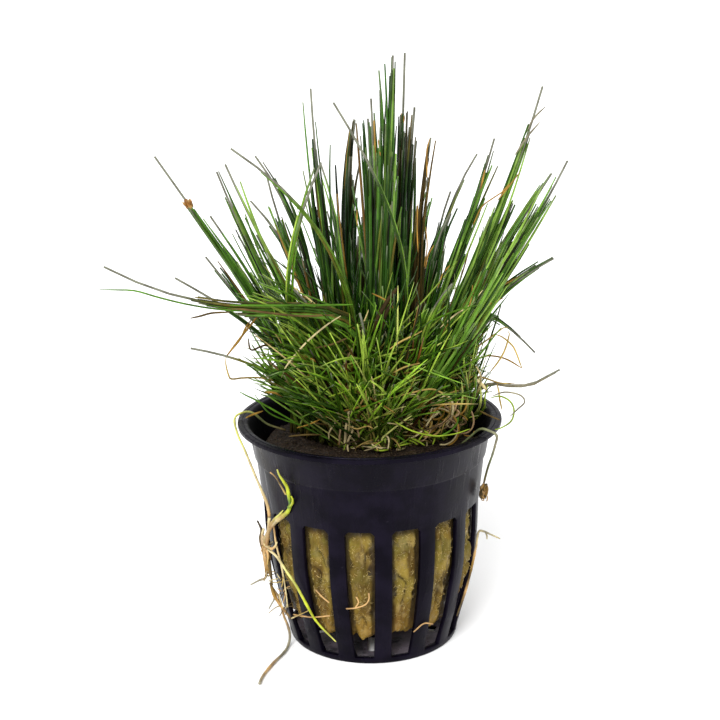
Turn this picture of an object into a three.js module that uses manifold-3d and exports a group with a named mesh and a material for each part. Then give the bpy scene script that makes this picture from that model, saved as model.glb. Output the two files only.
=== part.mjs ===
// Potted dwarf hairgrass: a clump of grass tufts in a rockwool plug in a black net pot.
// Millimetres, +Z up, the front towards -Y. The origin is the centre of the pot's underside.
import * as THREE from 'three';
import { mergeVertices } from 'three/addons/utils/BufferGeometryUtils.js';
import Module from 'manifold-3d';

const wasm = await Module();
wasm.setup();

// Driving dimensions of the net pot, a nominal 5 cm basket.
const POT_HEIGHT = 50;
const LIP_RADIUS = 28.75;
const LIP_THICKNESS = 1;
const COLLAR_TOP_RADIUS = 26.5;
const COLLAR_FOOT_RADIUS = 25.3;
const COLLAR_FOOT = 42.4;
const BASE_RADIUS = 18.9;
const FLOOR = 1;
const SLOT_COUNT = 15;
const SLOT_TOP = 32.4;
const SLOT_FOOT = 1.4;
const RIB_WIDTH = 3.65;
const FRONT_RIB_ANGLE = 5.4;
const GAP = 0.3;

// Driving dimensions of the plug and of the grass.
const PLUG_TOP = 45;
const PLUG_FOOT = 5.8;
const BLADE_TIP_RADIUS = 0.3;
const TUFT_CLEARANCE = 0.7;

const radians = THREE.MathUtils.degToRad;
const vector = (x, y, z) => new THREE.Vector3(x, y, z);

const finish = (color, roughness) => new THREE.MeshStandardMaterial({ color, roughness, metalness: 0 });
const potPlastic = finish(0x23222f, 0.35);
const wetWool = finish(0x6b5c33, 0.9);
const freshGrass = finish(0x4f7a2b, 0.5);
const paleShoot = finish(0xb9c46a, 0.5);
const paleRoot = finish(0xb58f55, 0.7);

// A geometry as a closed solid, and a solid as a geometry again.
function solidOf(geometry) {
  geometry.deleteAttribute('normal');
  geometry.deleteAttribute('uv');
  const welded = mergeVertices(geometry);
  return new wasm.Manifold(new wasm.Mesh({
    numProp: 3,
    vertProperties: new Float32Array(welded.attributes.position.array),
    triVerts: new Uint32Array(welded.index.array),
  }));
}

function geometryOf(solid) {
  const { vertProperties, triVerts } = solid.getMesh();
  const geometry = new THREE.BufferGeometry();
  geometry.setAttribute('position', new THREE.BufferAttribute(vertProperties, 3));
  geometry.setIndex(new THREE.BufferAttribute(triVerts, 1));
  geometry.computeVertexNormals();
  return geometry;
}

const plant = new THREE.Group();

function addPiece(name, solid, material) {
  const mesh = new THREE.Mesh(geometryOf(solid), material);
  mesh.name = name;
  plant.add(mesh);
}

// A shape turned about the pot's axis. Its profile runs from the axis at the foot to the axis at the top.
function turned(profile, segments, turn) {
  const points = profile.map(([radius, height]) => new THREE.Vector2(radius, height));
  const geometry = new THREE.LatheGeometry(points, segments, turn);
  geometry.rotateX(Math.PI / 2);
  return solidOf(geometry);
}

// Net pot: outer wall from the base up to the lip, then the inner wall back down to the floor.
const OUTER_WALL = [
  [BASE_RADIUS - 0.6, 0], [BASE_RADIUS, 0.6], [19.7, 4.2], [20.9, 8.4], [22, 13.6], [23.25, 20.9],
  [23.75, 31.3], [24.95, COLLAR_FOOT - 0.6], [COLLAR_FOOT_RADIUS, COLLAR_FOOT],
  [COLLAR_TOP_RADIUS, POT_HEIGHT - LIP_THICKNESS], [LIP_RADIUS - 0.2, POT_HEIGHT - LIP_THICKNESS],
  [LIP_RADIUS, POT_HEIGHT - LIP_THICKNESS / 2], [LIP_RADIUS - 0.2, POT_HEIGHT],
];
const INNER_WALL = [
  [26.6, POT_HEIGHT], [25.6, 48.5], [24, 41.8], [22.75, 31.3], [22.25, 20.9], [18.7, 4.2], [17.4, FLOOR],
];
const FACETS_PER_SLOT = 2;
const slotAngle = (index) => radians(FRONT_RIB_ANGLE + (360 / SLOT_COUNT) * (index + 0.5));

// One side slot: a wedge-shaped cutter that leaves ribs of the same width from top to foot.
function slotCutter(angle) {
  const halfWidth = (radius) => (Math.PI * radius) / SLOT_COUNT - RIB_WIDTH / 2;
  const outline = new THREE.Shape([
    new THREE.Vector2(-halfWidth(BASE_RADIUS), SLOT_FOOT),
    new THREE.Vector2(halfWidth(BASE_RADIUS), SLOT_FOOT),
    new THREE.Vector2(halfWidth(22), 13.6),
    new THREE.Vector2(halfWidth(23.75), SLOT_TOP - 0.8),
    new THREE.Vector2(halfWidth(23.75) - 0.8, SLOT_TOP),
    new THREE.Vector2(-halfWidth(23.75) + 0.8, SLOT_TOP),
    new THREE.Vector2(-halfWidth(23.75), SLOT_TOP - 0.8),
    new THREE.Vector2(-halfWidth(22), 13.6),
  ]);
  const cutter = new THREE.ExtrudeGeometry(outline, { depth: 14, bevelEnabled: false });
  cutter.rotateX(Math.PI / 2);
  cutter.translate(0, -14, 0);
  cutter.rotateZ(angle);
  return solidOf(cutter);
}

// One drain slot in the base, clear of the middle that the pot stands on.
function drainCutter(angle) {
  const cutter = new THREE.BoxGeometry(2.6, 8, 4);
  cutter.translate(0, -10.5, 0);
  cutter.rotateZ(angle);
  return solidOf(cutter);
}

let pot = turned(
  [[0, 0], ...OUTER_WALL, ...INNER_WALL, [0, FLOOR]], SLOT_COUNT * FACETS_PER_SLOT, radians(FRONT_RIB_ANGLE));
for (let index = 0; index < SLOT_COUNT; index += 1) {
  pot = pot.subtract(slotCutter(slotAngle(index)));
}
const DRAIN_COUNT = 5;
for (let index = 0; index < DRAIN_COUNT; index += 1) {
  pot = pot.subtract(drainCutter(radians((360 / DRAIN_COUNT) * index)));
}
addPiece('net_pot', pot, potPlastic);

// Rockwool plug: pressed against the inside of the wall, its foot some way above the floor.
const plugProfile = [
  [0, PLUG_FOOT], [16.6, PLUG_FOOT], [18.4, 7], [20.2, 13.6], [21.8, 20.9], [22.3, 31.3], [23.5, 41.8],
  [23.2, 44], [22, PLUG_TOP], [0, PLUG_TOP],
];
addPiece('rockwool_plug', turned(plugProfile, 23, 0), wetWool);

// A round strand along a curve: a cylinder bent onto it, ring by ring, as thick at each as radiusAt says.
// A strand with a level foot stands on a level surface.
function strand(curve, radiusAt, sides, steps, levelFoot = false) {
  const geometry = new THREE.CylinderGeometry(1, 1, 1, sides, steps);
  const { normals, binormals } = curve.computeFrenetFrames(steps);
  if (levelFoot) {
    normals[0].setZ(0).normalize();
    binormals[0].crossVectors(vector(0, 0, 1), normals[0]);
  }
  const position = geometry.attributes.position;
  for (let index = 0; index < position.count; index += 1) {
    const along = position.getY(index) + 0.5;
    const ring = Math.round(along * steps);
    const radius = radiusAt(along);
    const point = curve.getPointAt(along);
    point.addScaledVector(binormals[ring], radius * position.getX(index));
    point.addScaledVector(normals[ring], radius * position.getZ(index));
    position.setXYZ(index, point.x, point.y, point.z);
  }
  return solidOf(geometry);
}

// Grass tufts that stand out. Each rises from its crown, leans over its lean point and ends at its tip.
// Name, crown x and y, rise, lean point, tip, radius at the foot, number of side spears.
const TUFTS = [
  ['tuft_left_sweep', [1, -3], 50, [-16, -15, 68], [-53, -16, 88], 1.3, 2],
  ['tuft_left_reach', [-13, 1], 18, [-21, -8, 72], [-39, -12, 84], 1.0, 1],
  ['tuft_left_low', [-9, -4], 8, [-16, -14, 66], [-36, -18, 71], 0.9, 1],
  ['tuft_seed_stalk', [-12, 4], 12, [-27, -3, 83], [-43, -4, 108], 1.3, 1],
  ['tuft_left_lean', [-15, 6], 14, [-21, 4, 75], [-33, 4, 94], 1.1, 2],
  ['tuft_left_short', [-15, 10], 12, [-25, 10, 70], [-35, 10, 84], 1.0, 1],
  ['tuft_left_spear', [-11, 8], 16, [-22, 12, 76], [-32, 14, 102], 1.2, 2],
  ['tuft_left_cross', [-10, 1], 24, [-17, -8, 78], [-28, -10, 107], 1.1, 1],
  ['tuft_left_back', [-8, 12], 14, [-23, 18, 73], [-30, 20, 96], 1.1, 1],
  ['tuft_left_arch', [-2, -1], 25, [0, -14, 92], [-26, -18, 111], 1.0, 1],
  ['tuft_left_fan', [-5, 8], 18, [-17, 16, 75], [-22, 18, 100], 1.3, 2],
  ['tuft_up_left', [-5, 4], 16, [-10, 7, 87], [-11, 8, 120], 1.3, 2],
  ['tuft_lean_across', [-12, -2], 20, [-24, -10, 74], [-9, -12, 107], 1.0, 1],
  ['tuft_long_lean', [5, -3], 30, [16, -10, 82], [-6, -12, 119], 1.1, 1],
  ['tuft_dark_spear', [-3, 12], 18, [-6, 18, 90], [-2, 20, 112], 1.4, 2],
  ['tuft_middle_back', [1, 8], 17, [2, 11, 83], [1, 12, 113], 1.2, 2],
  ['tuft_middle', [1, 2], 15, [3, 2, 88], [2, 2, 118], 1.2, 2],
  ['tuft_tall', [5, 1], 20, [8, 2, 95], [6, 3, 127], 1.5, 2],
  ['tuft_tall_seed', [8, 5], 14, [10, 6, 92], [9, 7, 127], 1.2, 1],
  ['tuft_tall_back', [6, 11], 14, [8, 13, 87], [11, 14, 115], 1.3, 1],
  ['tuft_brown', [11, 9], 17, [10, 9, 81], [14, 9, 109], 1.1, 1],
  ['tuft_right_thin', [14, 12], 18, [12, 16, 79], [19, 18, 96], 1.1, 2],
  ['tuft_right_spear', [11, 4], 22, [18, 8, 75], [28, 14, 108], 1.3, 2],
  ['tuft_right_long', [13, 2], 24, [23, 0, 74], [37, 2, 120], 1.3, 2],
  ['tuft_right_thick', [14, -2], 22, [24, -8, 72], [41, -8, 106], 1.5, 2],
  ['tuft_right_fan', [16, 5], 20, [24, 7, 77], [40, 8, 101], 1.2, 2],
  ['tuft_right_reach', [17, 0], 18, [18, -4, 74], [39, -4, 85], 1.1, 1],
  ['tuft_right_droop', [19, 9], 22, [20, 8, 80], [37, 9, 61], 0.9, 1],
  ['tuft_right_pale', [20, 3], 12, [30, -8, 56], [40, -8, 62], 0.8, 1],
].map(([name, crown, rise, lean, tip, radius, spears]) => ({
  name, radius, spears, steps: 6, points: [
    vector(...crown, PLUG_TOP + GAP), vector(...crown, PLUG_TOP + rise), vector(...lean), vector(...tip),
  ],
}));

// Tufts that fill the clump: a fan of them, from an arc of crowns. Their reach and height vary evenly,
// by steps of the golden section.
const GOLDEN = 0.618;
const between = ([low, high], share) => THREE.MathUtils.lerp(low, high, share);
function fan(name, count, headings, crownCentre, crownReach, tipReach, tipHeight, radius) {
  for (let index = 0; index < count; index += 1) {
    const heading = radians(between(headings, (index + 0.5) / count));
    const outward = vector(Math.cos(heading), Math.sin(heading), 0);
    const reach = between(tipReach, (index * GOLDEN) % 1);
    const height = between(tipHeight, (index * (1 - GOLDEN) + 0.5) % 1);
    const centre = vector(...crownCentre, PLUG_TOP);
    const crown = centre.clone().addScaledVector(outward, crownReach).setZ(PLUG_TOP + GAP);
    const lean = centre.clone().addScaledVector(outward, reach * 0.55).setZ(PLUG_TOP + height * 0.75);
    const tip = centre.clone().addScaledVector(outward, reach).setZ(PLUG_TOP + height);
    const rise = crown.clone().setZ(PLUG_TOP + height * 0.35);
    const spears = 1 + (index % 2);
    TUFTS.push({ name: `${name}_${index + 1}`, radius, spears, steps: 4, points: [crown, rise, lean, tip] });
  }
}
fan('tuft_back', 10, [10, 170], [2, 6], 12, [18, 34], [32, 62], 1.2);
fan('tuft_front', 8, [195, 345], [2, 3], 9.5, [14, 24], [16, 42], 1.0);

// The limbs of a tuft: its main spear, then side spears that leave it one after the other.
const TURN_OF_SPEARS = 137.5;
const SIDE_SPEAR_REACH = 6;
function limbsOf({ points, radius, spears }) {
  const main = new THREE.CubicBezierCurve3(...points);
  const limbs = [{ curve: main, foot: radius, fork: 0 }];
  for (let index = 0; index < spears; index += 1) {
    const fork = 0.3 + 0.15 * index;
    const start = main.getPointAt(fork);
    const bearing = radians(TURN_OF_SPEARS * (index + 1) + 10 * points[0].x);
    const spread = vector(Math.cos(bearing), Math.sin(bearing), 0).multiplyScalar(SIDE_SPEAR_REACH - index);
    const end = main.getPointAt(0.9 - 0.1 * index).add(spread);
    const bend = start.clone().lerp(end, 0.5).addScaledVector(spread, -0.15);
    limbs.push({ curve: new THREE.QuadraticBezierCurve3(start, bend, end), foot: radius * 0.6, fork });
  }
  return limbs;
}
const thicknessAt = (foot, along) => BLADE_TIP_RADIUS + (foot - BLADE_TIP_RADIUS) * (1 - along ** 2);

// Beads along a tuft, each with its radius and its place on the main spear, to find where tufts touch.
const BEAD_STEPS = 24;
function beadsOf(tuft) {
  const beads = [];
  for (const { curve, foot, fork } of limbsOf(tuft)) {
    for (let step = 0; step <= BEAD_STEPS; step += 1) {
      const along = step / BEAD_STEPS;
      const place = fork + (1 - fork) * along;
      beads.push({ at: curve.getPoint(along), radius: thicknessAt(foot, along), place });
    }
  }
  return beads;
}

// How firmly each control point of a curve holds the place at a share of its length.
const holdsAt = (place) => [
  (1 - place) ** 3, 3 * (1 - place) ** 2 * place, 3 * (1 - place) * place ** 2, place ** 3,
];

// A tuft gives way where it is touched. Its crown stays on top of the plug.
function giveWay(tuft, place, push) {
  const holds = holdsAt(place);
  tuft.points.forEach((point, index) => point.addScaledVector(push, holds[index]));
  tuft.points[0].setZ(PLUG_TOP + GAP);
}

// Two tufts that come too close ease each other apart.
const EASING = 0.1;
function easeApart(first, second) {
  let touches = 0;
  for (const one of first.beads) {
    for (const other of second.beads) {
      const near = one.radius + other.radius + TUFT_CLEARANCE;
      const distance = one.at.distanceTo(other.at);
      if (distance < near) {
        const push = one.at.clone().sub(other.at).setLength(EASING * (near - distance));
        giveWay(first, one.place, push);
        giveWay(second, other.place, push.negate());
        touches += 1;
      }
    }
  }
  return touches;
}
const EASING_PASSES = 120;
for (let pass = 0; pass < EASING_PASSES; pass += 1) {
  for (const tuft of TUFTS) {
    tuft.beads = beadsOf(tuft);
    tuft.box = new THREE.Box3().setFromPoints(tuft.beads.map((bead) => bead.at)).expandByScalar(2);
  }
  let touches = 0;
  TUFTS.forEach((first, index) => {
    for (const second of TUFTS.slice(index + 1)) {
      if (first.box.intersectsBox(second.box)) {
        touches += easeApart(first, second);
      }
    }
  });
  if (touches === 0) {
    break;
  }
}

for (const tuft of TUFTS) {
  const [main, ...sides] = limbsOf(tuft);
  let solid = strand(main.curve, (along) => thicknessAt(main.foot, along), 5, tuft.steps, true);
  for (const side of sides) {
    solid = solid.add(strand(side.curve, (along) => thicknessAt(side.foot, along), 3, tuft.steps / 2));
  }
  addPiece(tuft.name, solid, freshGrass);
}

// Stray plantlet and roots: each strand runs through its own points, thinning from one end to the other.
function addStrand(name, points, thick, thin, steps, material) {
  const curve = new THREE.CatmullRomCurve3(points.map((point) => vector(...point)));
  addPiece(name, strand(curve, (along) => THREE.MathUtils.lerp(thick, thin, along), 4, steps), material);
}

addStrand('runner_left', [
  [-18.5, 3, 46.1], [-22.5, 3, 47.6], [-25.6, 2, 50.4], [-27.6, 1, 51.1], [-29.6, 0, 50.2], [-29, -2, 47.5],
  [-27, -5, 44.4], [-25.3, -8, 40.9], [-23.6, -11, 37.9], [-22.6, -12.5, 35.7], [-22.2, -12.9, 34.2],
], 0.5, 0.45, 13, paleRoot);
addStrand('plantlet_shoot', [
  [-21.4, -13.6, 32.6], [-20.1, -16, 34.5], [-18.2, -18.8, 38.4], [-17.6, -19.6, 40.3], [-18.2, -20, 43],
  [-19.6, -19.4, 45.2],
], 0.9, 0.35, 8, paleShoot);
addStrand('plantlet_roots', [
  [-22.3, -12.6, 32], [-23, -10.5, 27.5], [-23.1, -9, 23.2], [-22.5, -9.6, 20.6], [-22.5, -8.6, 17],
  [-21.4, -9.8, 13.4],
], 0.9, 0.7, 8, paleRoot);
addStrand('plantlet_leaf', [
  [-20.4, -13.8, 23.6], [-19, -15.6, 22.3], [-16.8, -17.3, 19.6], [-14.6, -18.4, 15.8], [-12.4, -18.9, 10.7],
  [-10.6, -19.3, 8.1], [-8.2, -20, 6.5],
], 0.6, 0.4, 9, paleShoot);
addStrand('trailing_root', [
  [-20.5, -11, 11.8], [-20, -10.5, 8], [-19, -9.6, 4.6], [-18.7, -9, 2.2], [-19, -10.2, 0.6],
  [-19.8, -13.5, 0.45], [-21.9, -18.3, 0.45], [-23.7, -23.6, 0.45], [-24.3, -27.1, 0.45],
], 0.42, 0.3, 13, paleRoot);
addStrand('runner_right', [
  [19, -9.5, 46], [21, -11, 48.6], [23, -13.2, 51], [24.6, -15, 51.2], [25.9, -15.4, 50], [25.7, -14.6, 47.6],
  [25.3, -11.5, 44.4], [24.9, -9.8, 41], [24.5, -9.2, 37.9],
], 0.4, 0.4, 12, paleRoot);
addStrand('root_sprig', [
  [22.4, -9.4, 18.1], [23.3, -8, 22.6], [23.9, -6.6, 26], [25.9, -3.5, 24.5], [28.3, -3.4, 22.1],
], 0.45, 0.3, 8, paleRoot);

const rootBall = new THREE.SphereGeometry(1, 8, 6);
rootBall.scale(0.9, 0.9, 2.1);
rootBall.translate(24.3, -8.6, 35);
addPiece('root_ball', solidOf(rootBall), paleRoot);

export default plant;
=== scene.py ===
# Potted dwarf hairgrass: a clump of grass rooted in a plug of rockwool, in a black net pot.
# Metres, +Z up, the front towards -Y, the origin at the centre of the pot's underside.
import math

import bmesh
import bpy
import numpy as np
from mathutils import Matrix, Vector, noise


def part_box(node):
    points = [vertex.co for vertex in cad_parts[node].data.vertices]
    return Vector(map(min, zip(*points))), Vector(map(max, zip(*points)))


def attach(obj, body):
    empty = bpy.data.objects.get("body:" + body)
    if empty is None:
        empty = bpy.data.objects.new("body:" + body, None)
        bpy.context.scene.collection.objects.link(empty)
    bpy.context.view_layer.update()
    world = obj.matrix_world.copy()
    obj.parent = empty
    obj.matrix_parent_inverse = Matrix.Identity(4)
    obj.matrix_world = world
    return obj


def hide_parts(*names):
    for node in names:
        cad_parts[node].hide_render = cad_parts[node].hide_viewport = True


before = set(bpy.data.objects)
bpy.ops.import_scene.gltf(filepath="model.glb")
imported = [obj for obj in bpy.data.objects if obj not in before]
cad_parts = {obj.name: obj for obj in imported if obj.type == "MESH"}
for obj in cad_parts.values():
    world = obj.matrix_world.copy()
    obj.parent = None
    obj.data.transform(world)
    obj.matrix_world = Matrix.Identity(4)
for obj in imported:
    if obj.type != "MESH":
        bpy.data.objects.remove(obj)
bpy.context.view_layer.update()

MM = 0.001


# Net pot
# One injection moulding in black polypropylene: a tapered cup with a plain collar, and a flat lip
# that hangs it in a tray. Fifteen tall slots between flat ribs let the roots out and the water in.
RIBS = 15
RIB_PITCH = math.tau / RIBS
RIB_WIDTH = 3.65
FRONT_RIB = math.radians(5.4)
SLOT_FOOT = 1.4
SLOT_TOP = 32.4
SLOT_CORNER = 0.8
COLUMNS_PER_RIB = 6
POT_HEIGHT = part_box("net_pot")[1].z / MM
LIP_RADIUS = 28.75
FLOOR_HEIGHT = 1

# Radius and height of each moulded edge, up the outside to the lip and down the inside to the floor.
OUTER_WALL = [
    (18.3, 0), (18.7, 0.15), (18.9, 0.6), (19, SLOT_FOOT), (19.7, 4.2), (20.9, 8.4), (22, 13.6),
    (22.75, 17.3), (23.25, 20.9), (23.6, 26), (23.75, SLOT_TOP - SLOT_CORNER), (23.9, SLOT_TOP),
    (24.95, 41.8), (25.08, 42.1), (25.35, 42.4), (26.45, 48.7), (26.7, 49), (28.45, 49),
    (28.68, 49.15), (LIP_RADIUS, 49.5), (28.68, 49.85), (28.45, POT_HEIGHT),
]
INNER_WALL = [
    (27.75, POT_HEIGHT), (27.68, 49.88), (27.5, 49.88), (27.43, POT_HEIGHT), (26.8, POT_HEIGHT),
    (26.55, 49.85), (25.65, 48.6), (25.45, 48.2), (24, 41.8), (22.9, SLOT_TOP),
    (22.75, SLOT_TOP - SLOT_CORNER), (22.65, 26), (22.25, 20.9), (21.7, 17.3), (21, 13.6),
    (19.9, 8.4), (18.7, 4.2), (17.8, SLOT_FOOT), (17.2, FLOOR_HEIGHT),
]

# How far off an edge may lie and still count as the one meant, in height, and the share of a rib's
# half width that is surely rib.
ON_EDGE = 0.01
NEAR_EDGE = 0.1
SURELY_RIB = 0.8


def rib_bearing(place):
    """The bearing of a place in the plan, from the middle of the front rib, anticlockwise from above."""
    return (math.atan2(place.x, -place.y) - FRONT_RIB) % math.tau


def select_only(kind, wanted):
    """Selects, in edit mode, the faces or edges of the active piece that are wanted, and nothing else."""
    bpy.ops.mesh.select_mode(type=kind)
    bpy.ops.mesh.select_all(action="DESELECT")
    mesh = bmesh.from_edit_mesh(bpy.context.object.data)
    for item in mesh.faces if kind == "FACE" else mesh.edges:
        if wanted(item):
            item.select_set(True)
    mesh.select_flush_mode()
    bmesh.update_edit_mesh(bpy.context.object.data)


def middle_of(item):
    return sum((vertex.co for vertex in item.verts), Vector()) / len(item.verts)


bpy.ops.object.select_all(action="DESELECT")
columns = RIBS * COLUMNS_PER_RIB
radius, height = OUTER_WALL[0]
bpy.ops.mesh.primitive_circle_add(vertices=columns, radius=radius * MM)
pot = bpy.context.object
pot.name = "net_pot_moulding"
bpy.ops.object.mode_set(mode="EDIT")
bpy.ops.mesh.select_all(action="SELECT")
for next_radius, next_height in OUTER_WALL[1:] + INNER_WALL:
    bpy.ops.mesh.extrude_edges_move(TRANSFORM_OT_translate={"value": (0, 0, (next_height - height) * MM)})
    growth = next_radius / radius
    bpy.ops.transform.resize(value=(growth, growth, 1), center_override=(0, 0, 0))
    radius, height = next_radius, next_height
bpy.ops.mesh.edge_face_add()
select_only("EDGE", lambda edge: edge.is_boundary)
bpy.ops.mesh.edge_face_add()

# Each wall column is slid round to its place, so that a rib is equally wide from top to foot.
mesh = bmesh.from_edit_mesh(pot.data)
mesh.verts.ensure_lookup_table()
first_bearing = rib_bearing(mesh.verts[0].co)
for vertex in mesh.verts:
    column = round((rib_bearing(vertex.co) - first_bearing) / math.tau * columns) % columns
    rib, place = divmod(column, COLUMNS_PER_RIB)
    radius = vertex.co.to_2d().length
    corner = SLOT_CORNER if abs(vertex.co.z / MM - SLOT_TOP) < ON_EDGE else 0
    edge = (RIB_WIDTH / 2 + corner) * MM / radius
    bearing = FRONT_RIB + rib * RIB_PITCH
    if place > 0:
        bearing += edge + (place - 1) / (COLUMNS_PER_RIB - 2) * (RIB_PITCH - 2 * edge)
    vertex.co.x = radius * math.sin(bearing)
    vertex.co.y = -radius * math.cos(bearing)


def in_slot(item):
    """Whether a face or an edge lies in a slot of the outer or the inner wall."""
    middle = middle_of(item)
    rib_edge = RIB_WIDTH / 2 * MM / middle.to_2d().length
    beside_rib = rib_bearing(middle) % RIB_PITCH
    in_gap = SURELY_RIB * rib_edge < beside_rib < RIB_PITCH - SURELY_RIB * rib_edge
    return in_gap and SLOT_FOOT - NEAR_EDGE < middle.z / MM < SLOT_TOP + NEAR_EDGE


select_only("FACE", in_slot)
bpy.ops.mesh.delete(type="FACE")
for slot in range(RIBS):
    select_only("EDGE", lambda edge: edge.is_boundary and rib_bearing(middle_of(edge)) // RIB_PITCH == slot)
    bpy.ops.mesh.bridge_edge_loops()
bpy.ops.mesh.select_all(action="SELECT")
bpy.ops.mesh.normals_make_consistent(inside=False)
bpy.ops.object.mode_set(mode="OBJECT")

# Five drain slots, like a star, are open in the floor.
DRAINS = 5
DRAIN_SIZE = (2.6 * MM, 8 * MM, 4 * MM)
DRAIN_REACH = 10.5 * MM
bpy.ops.object.select_all(action="DESELECT")
bpy.ops.mesh.primitive_cube_add(size=1, location=(0, 0, 0))
drains = bpy.context.object
bpy.ops.object.mode_set(mode="EDIT")
bpy.ops.transform.resize(value=DRAIN_SIZE)
bpy.ops.transform.translate(value=(0, -DRAIN_REACH, 0))
for _ in range(1, DRAINS):
    bpy.ops.mesh.duplicate()
    bpy.ops.transform.rotate(value=math.tau / DRAINS, orient_axis="Z", center_override=(0, 0, 0))
bpy.ops.object.mode_set(mode="OBJECT")
cut = pot.modifiers.new("drains", "BOOLEAN")
cut.object = drains
cut.operation = "DIFFERENCE"
cut.solver = "EXACT"
bpy.context.view_layer.objects.active = pot
bpy.ops.object.modifier_apply(modifier=cut.name)
bpy.data.objects.remove(drains)

# The edges of the slots and drains are slightly round. The drains lie in the flat part of the floor.
MOULD_EDGE = 0.22 * MM
SHARP_ANGLE = math.radians(35)
FLAT_FLOOR = 16
bpy.ops.object.select_all(action="DESELECT")
pot.select_set(True)
bpy.ops.object.mode_set(mode="EDIT")


def is_cut_edge(edge):
    """Whether an edge is a sharp one, round a slot or a drain."""
    middle = middle_of(edge)
    in_floor = middle.z / MM < FLOOR_HEIGHT + ON_EDGE and middle.to_2d().length < FLAT_FLOOR * MM
    return (in_slot(edge) or in_floor) and edge.calc_face_angle(0) > SHARP_ANGLE


select_only("EDGE", is_cut_edge)
bpy.ops.mesh.bevel(offset=MOULD_EDGE, segments=2, clamp_overlap=True)
bpy.ops.object.mode_set(mode="OBJECT")
bpy.ops.object.shade_smooth_by_angle(angle=SHARP_ANGLE)


class Socket:
    """A shader socket to reckon with: each operator adds the Math node that it stands for."""

    def __init__(self, finish, socket):
        self.finish = finish
        self.socket = socket

    def reckon(self, operation, *values):
        return self.finish.node("Math", {"operation": operation}, dict(enumerate(values)))

    def __add__(self, other):
        return self.reckon("ADD", self, other)

    def __radd__(self, other):
        return self.reckon("ADD", other, self)

    def __sub__(self, other):
        return self.reckon("SUBTRACT", self, other)

    def __rsub__(self, other):
        return self.reckon("SUBTRACT", other, self)

    def __mul__(self, other):
        return self.reckon("MULTIPLY", self, other)

    def __rmul__(self, other):
        return self.reckon("MULTIPLY", other, self)

    def __pow__(self, power):
        return self.reckon("POWER", self, power)

    def ramp(self, low, high):
        """0 up to low, 1 from high on, and a smooth rise between them."""
        inputs = {"Value": self, "From Min": low, "From Max": high}
        return self.finish.node("MapRange", {"interpolation_type": "SMOOTHSTEP"}, inputs)


class Finish:
    """A material with one Principled shader, whose patterns are built up node by node."""

    def __init__(self, name, **constants):
        self.material = bpy.data.materials.new(name)
        self.material.use_nodes = True
        self.tree = self.material.node_tree
        self.shader = self.tree.nodes["Principled BSDF"]
        for socket, value in constants.items():
            self.shader.inputs[socket.replace("_", " ")].default_value = value

    def node(self, kind, settings, inputs, output=0):
        """Adds a shader node with its settings and the values or links of its inputs."""
        node = self.tree.nodes.new("ShaderNode" + kind)
        for setting, value in settings.items():
            setattr(node, setting, value)
        for name, value in inputs.items():
            self.feed(node.inputs[name], value)
        return Socket(self, node.outputs[output])

    def feed(self, socket, value):
        if isinstance(value, Socket):
            self.tree.links.new(value.socket, socket)
        else:
            socket.default_value = value

    def set(self, name, value):
        self.feed(self.shader.inputs[name], value)

    def place(self, stretch=(1, 1, 1)):
        """Object coordinates in millimetres, stretched along the axes."""
        coordinates = self.node("TexCoord", {}, {}, "Object")
        scale = tuple(1 / (MM * share) for share in stretch)
        return self.node("Mapping", {}, {"Vector": coordinates, "Scale": scale})

    def axes(self):
        """The three Object coordinates in millimetres, each on its own."""
        return [self.node("SeparateXYZ", {}, {"Vector": self.place()}, axis) for axis in "XYZ"]

    def noise(self, grain, detail=3, stretch=(1, 1, 1), roughness=0.55):
        """Noise whose lumps are about as many millimetres as grain says."""
        inputs = {"Vector": self.place(stretch), "Scale": 1 / grain, "Detail": detail, "Roughness": roughness}
        return self.node("TexNoise", {}, inputs, "Fac")

    def mix(self, factor, first, second):
        """The first colour where the factor is 0, the second where it is 1."""
        return self.node("Mix", {"data_type": "RGBA"}, {0: factor, 6: first, 7: second}, 2)

    def bump(self, height, distance):
        """Relief from a height pattern, as deep as so many millimetres."""
        self.set("Normal", self.node("Bump", {}, {"Height": height, "Distance": distance * MM}))


SCREEN_GAMMA = 2.2


def tone(red, green, blue):
    """A colour as it looks on a screen, 0 to 255, turned linear for the shaders."""
    return tuple((share / 255) ** SCREEN_GAMMA for share in (red, green, blue)) + (1.0,)


# Wet plastic: clouded black with upright streaks of water film and short scuffs. The floor is greyed
# by silt where the slots show it, and the inside of the collar above the wool is duller, and painted
# nearly black as shade.
SILTY_FLOOR_RADIUS = 17.4
COLLAR_INSIDE = 45
WALL_TAPER = 0.23
plastic = Finish(
    "wet_black_polypropylene", IOR=1.45, Specular_IOR_Level=0.08, Specular_Tint=(0.82, 0.76, 1, 1))
cloudy = plastic.noise(6, 4)
streaks = plastic.noise(1.6, 3, stretch=(1, 1, 9)).ramp(0.5, 0.72)
scuffs = plastic.noise(0.9, 5, stretch=(3.2, 0.8, 0.5), roughness=0.7).ramp(0.66, 0.74)
x_mm, y_mm, z_mm = plastic.axes()
from_axis = (x_mm * x_mm + y_mm * y_mm) ** 0.5
above_floor = z_mm - FLOOR_HEIGHT
on_floor = above_floor.ramp(-0.3, -0.1) * (1 - above_floor.ramp(0.05, 0.3))
on_floor = on_floor * (1 - (from_axis - SILTY_FLOOR_RADIUS).ramp(-0.2, 0.2))
# The inside of the collar above the wool: rougher, and painted nearly black as shade under the clump.
inside = (z_mm - COLLAR_INSIDE).ramp(-0.5, 0.5) * (1 - (from_axis - WALL_TAPER * z_mm).ramp(14.6, 15.2))
shade = plastic.mix(cloudy.ramp(0.35, 0.7), tone(12, 10, 17), tone(22, 19, 29))
shade = plastic.mix(scuffs * 0.25, shade, tone(80, 76, 88))
shade = plastic.mix(inside * 0.9, shade, tone(3, 2, 3))
plastic.set("Base Color", plastic.mix(on_floor * cloudy.ramp(0.3, 0.6), shade, tone(104, 95, 104)))
plastic.set("Roughness", 0.3 + 0.14 * cloudy - 0.18 * streaks + 0.25 * scuffs + 0.4 * inside)
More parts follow.
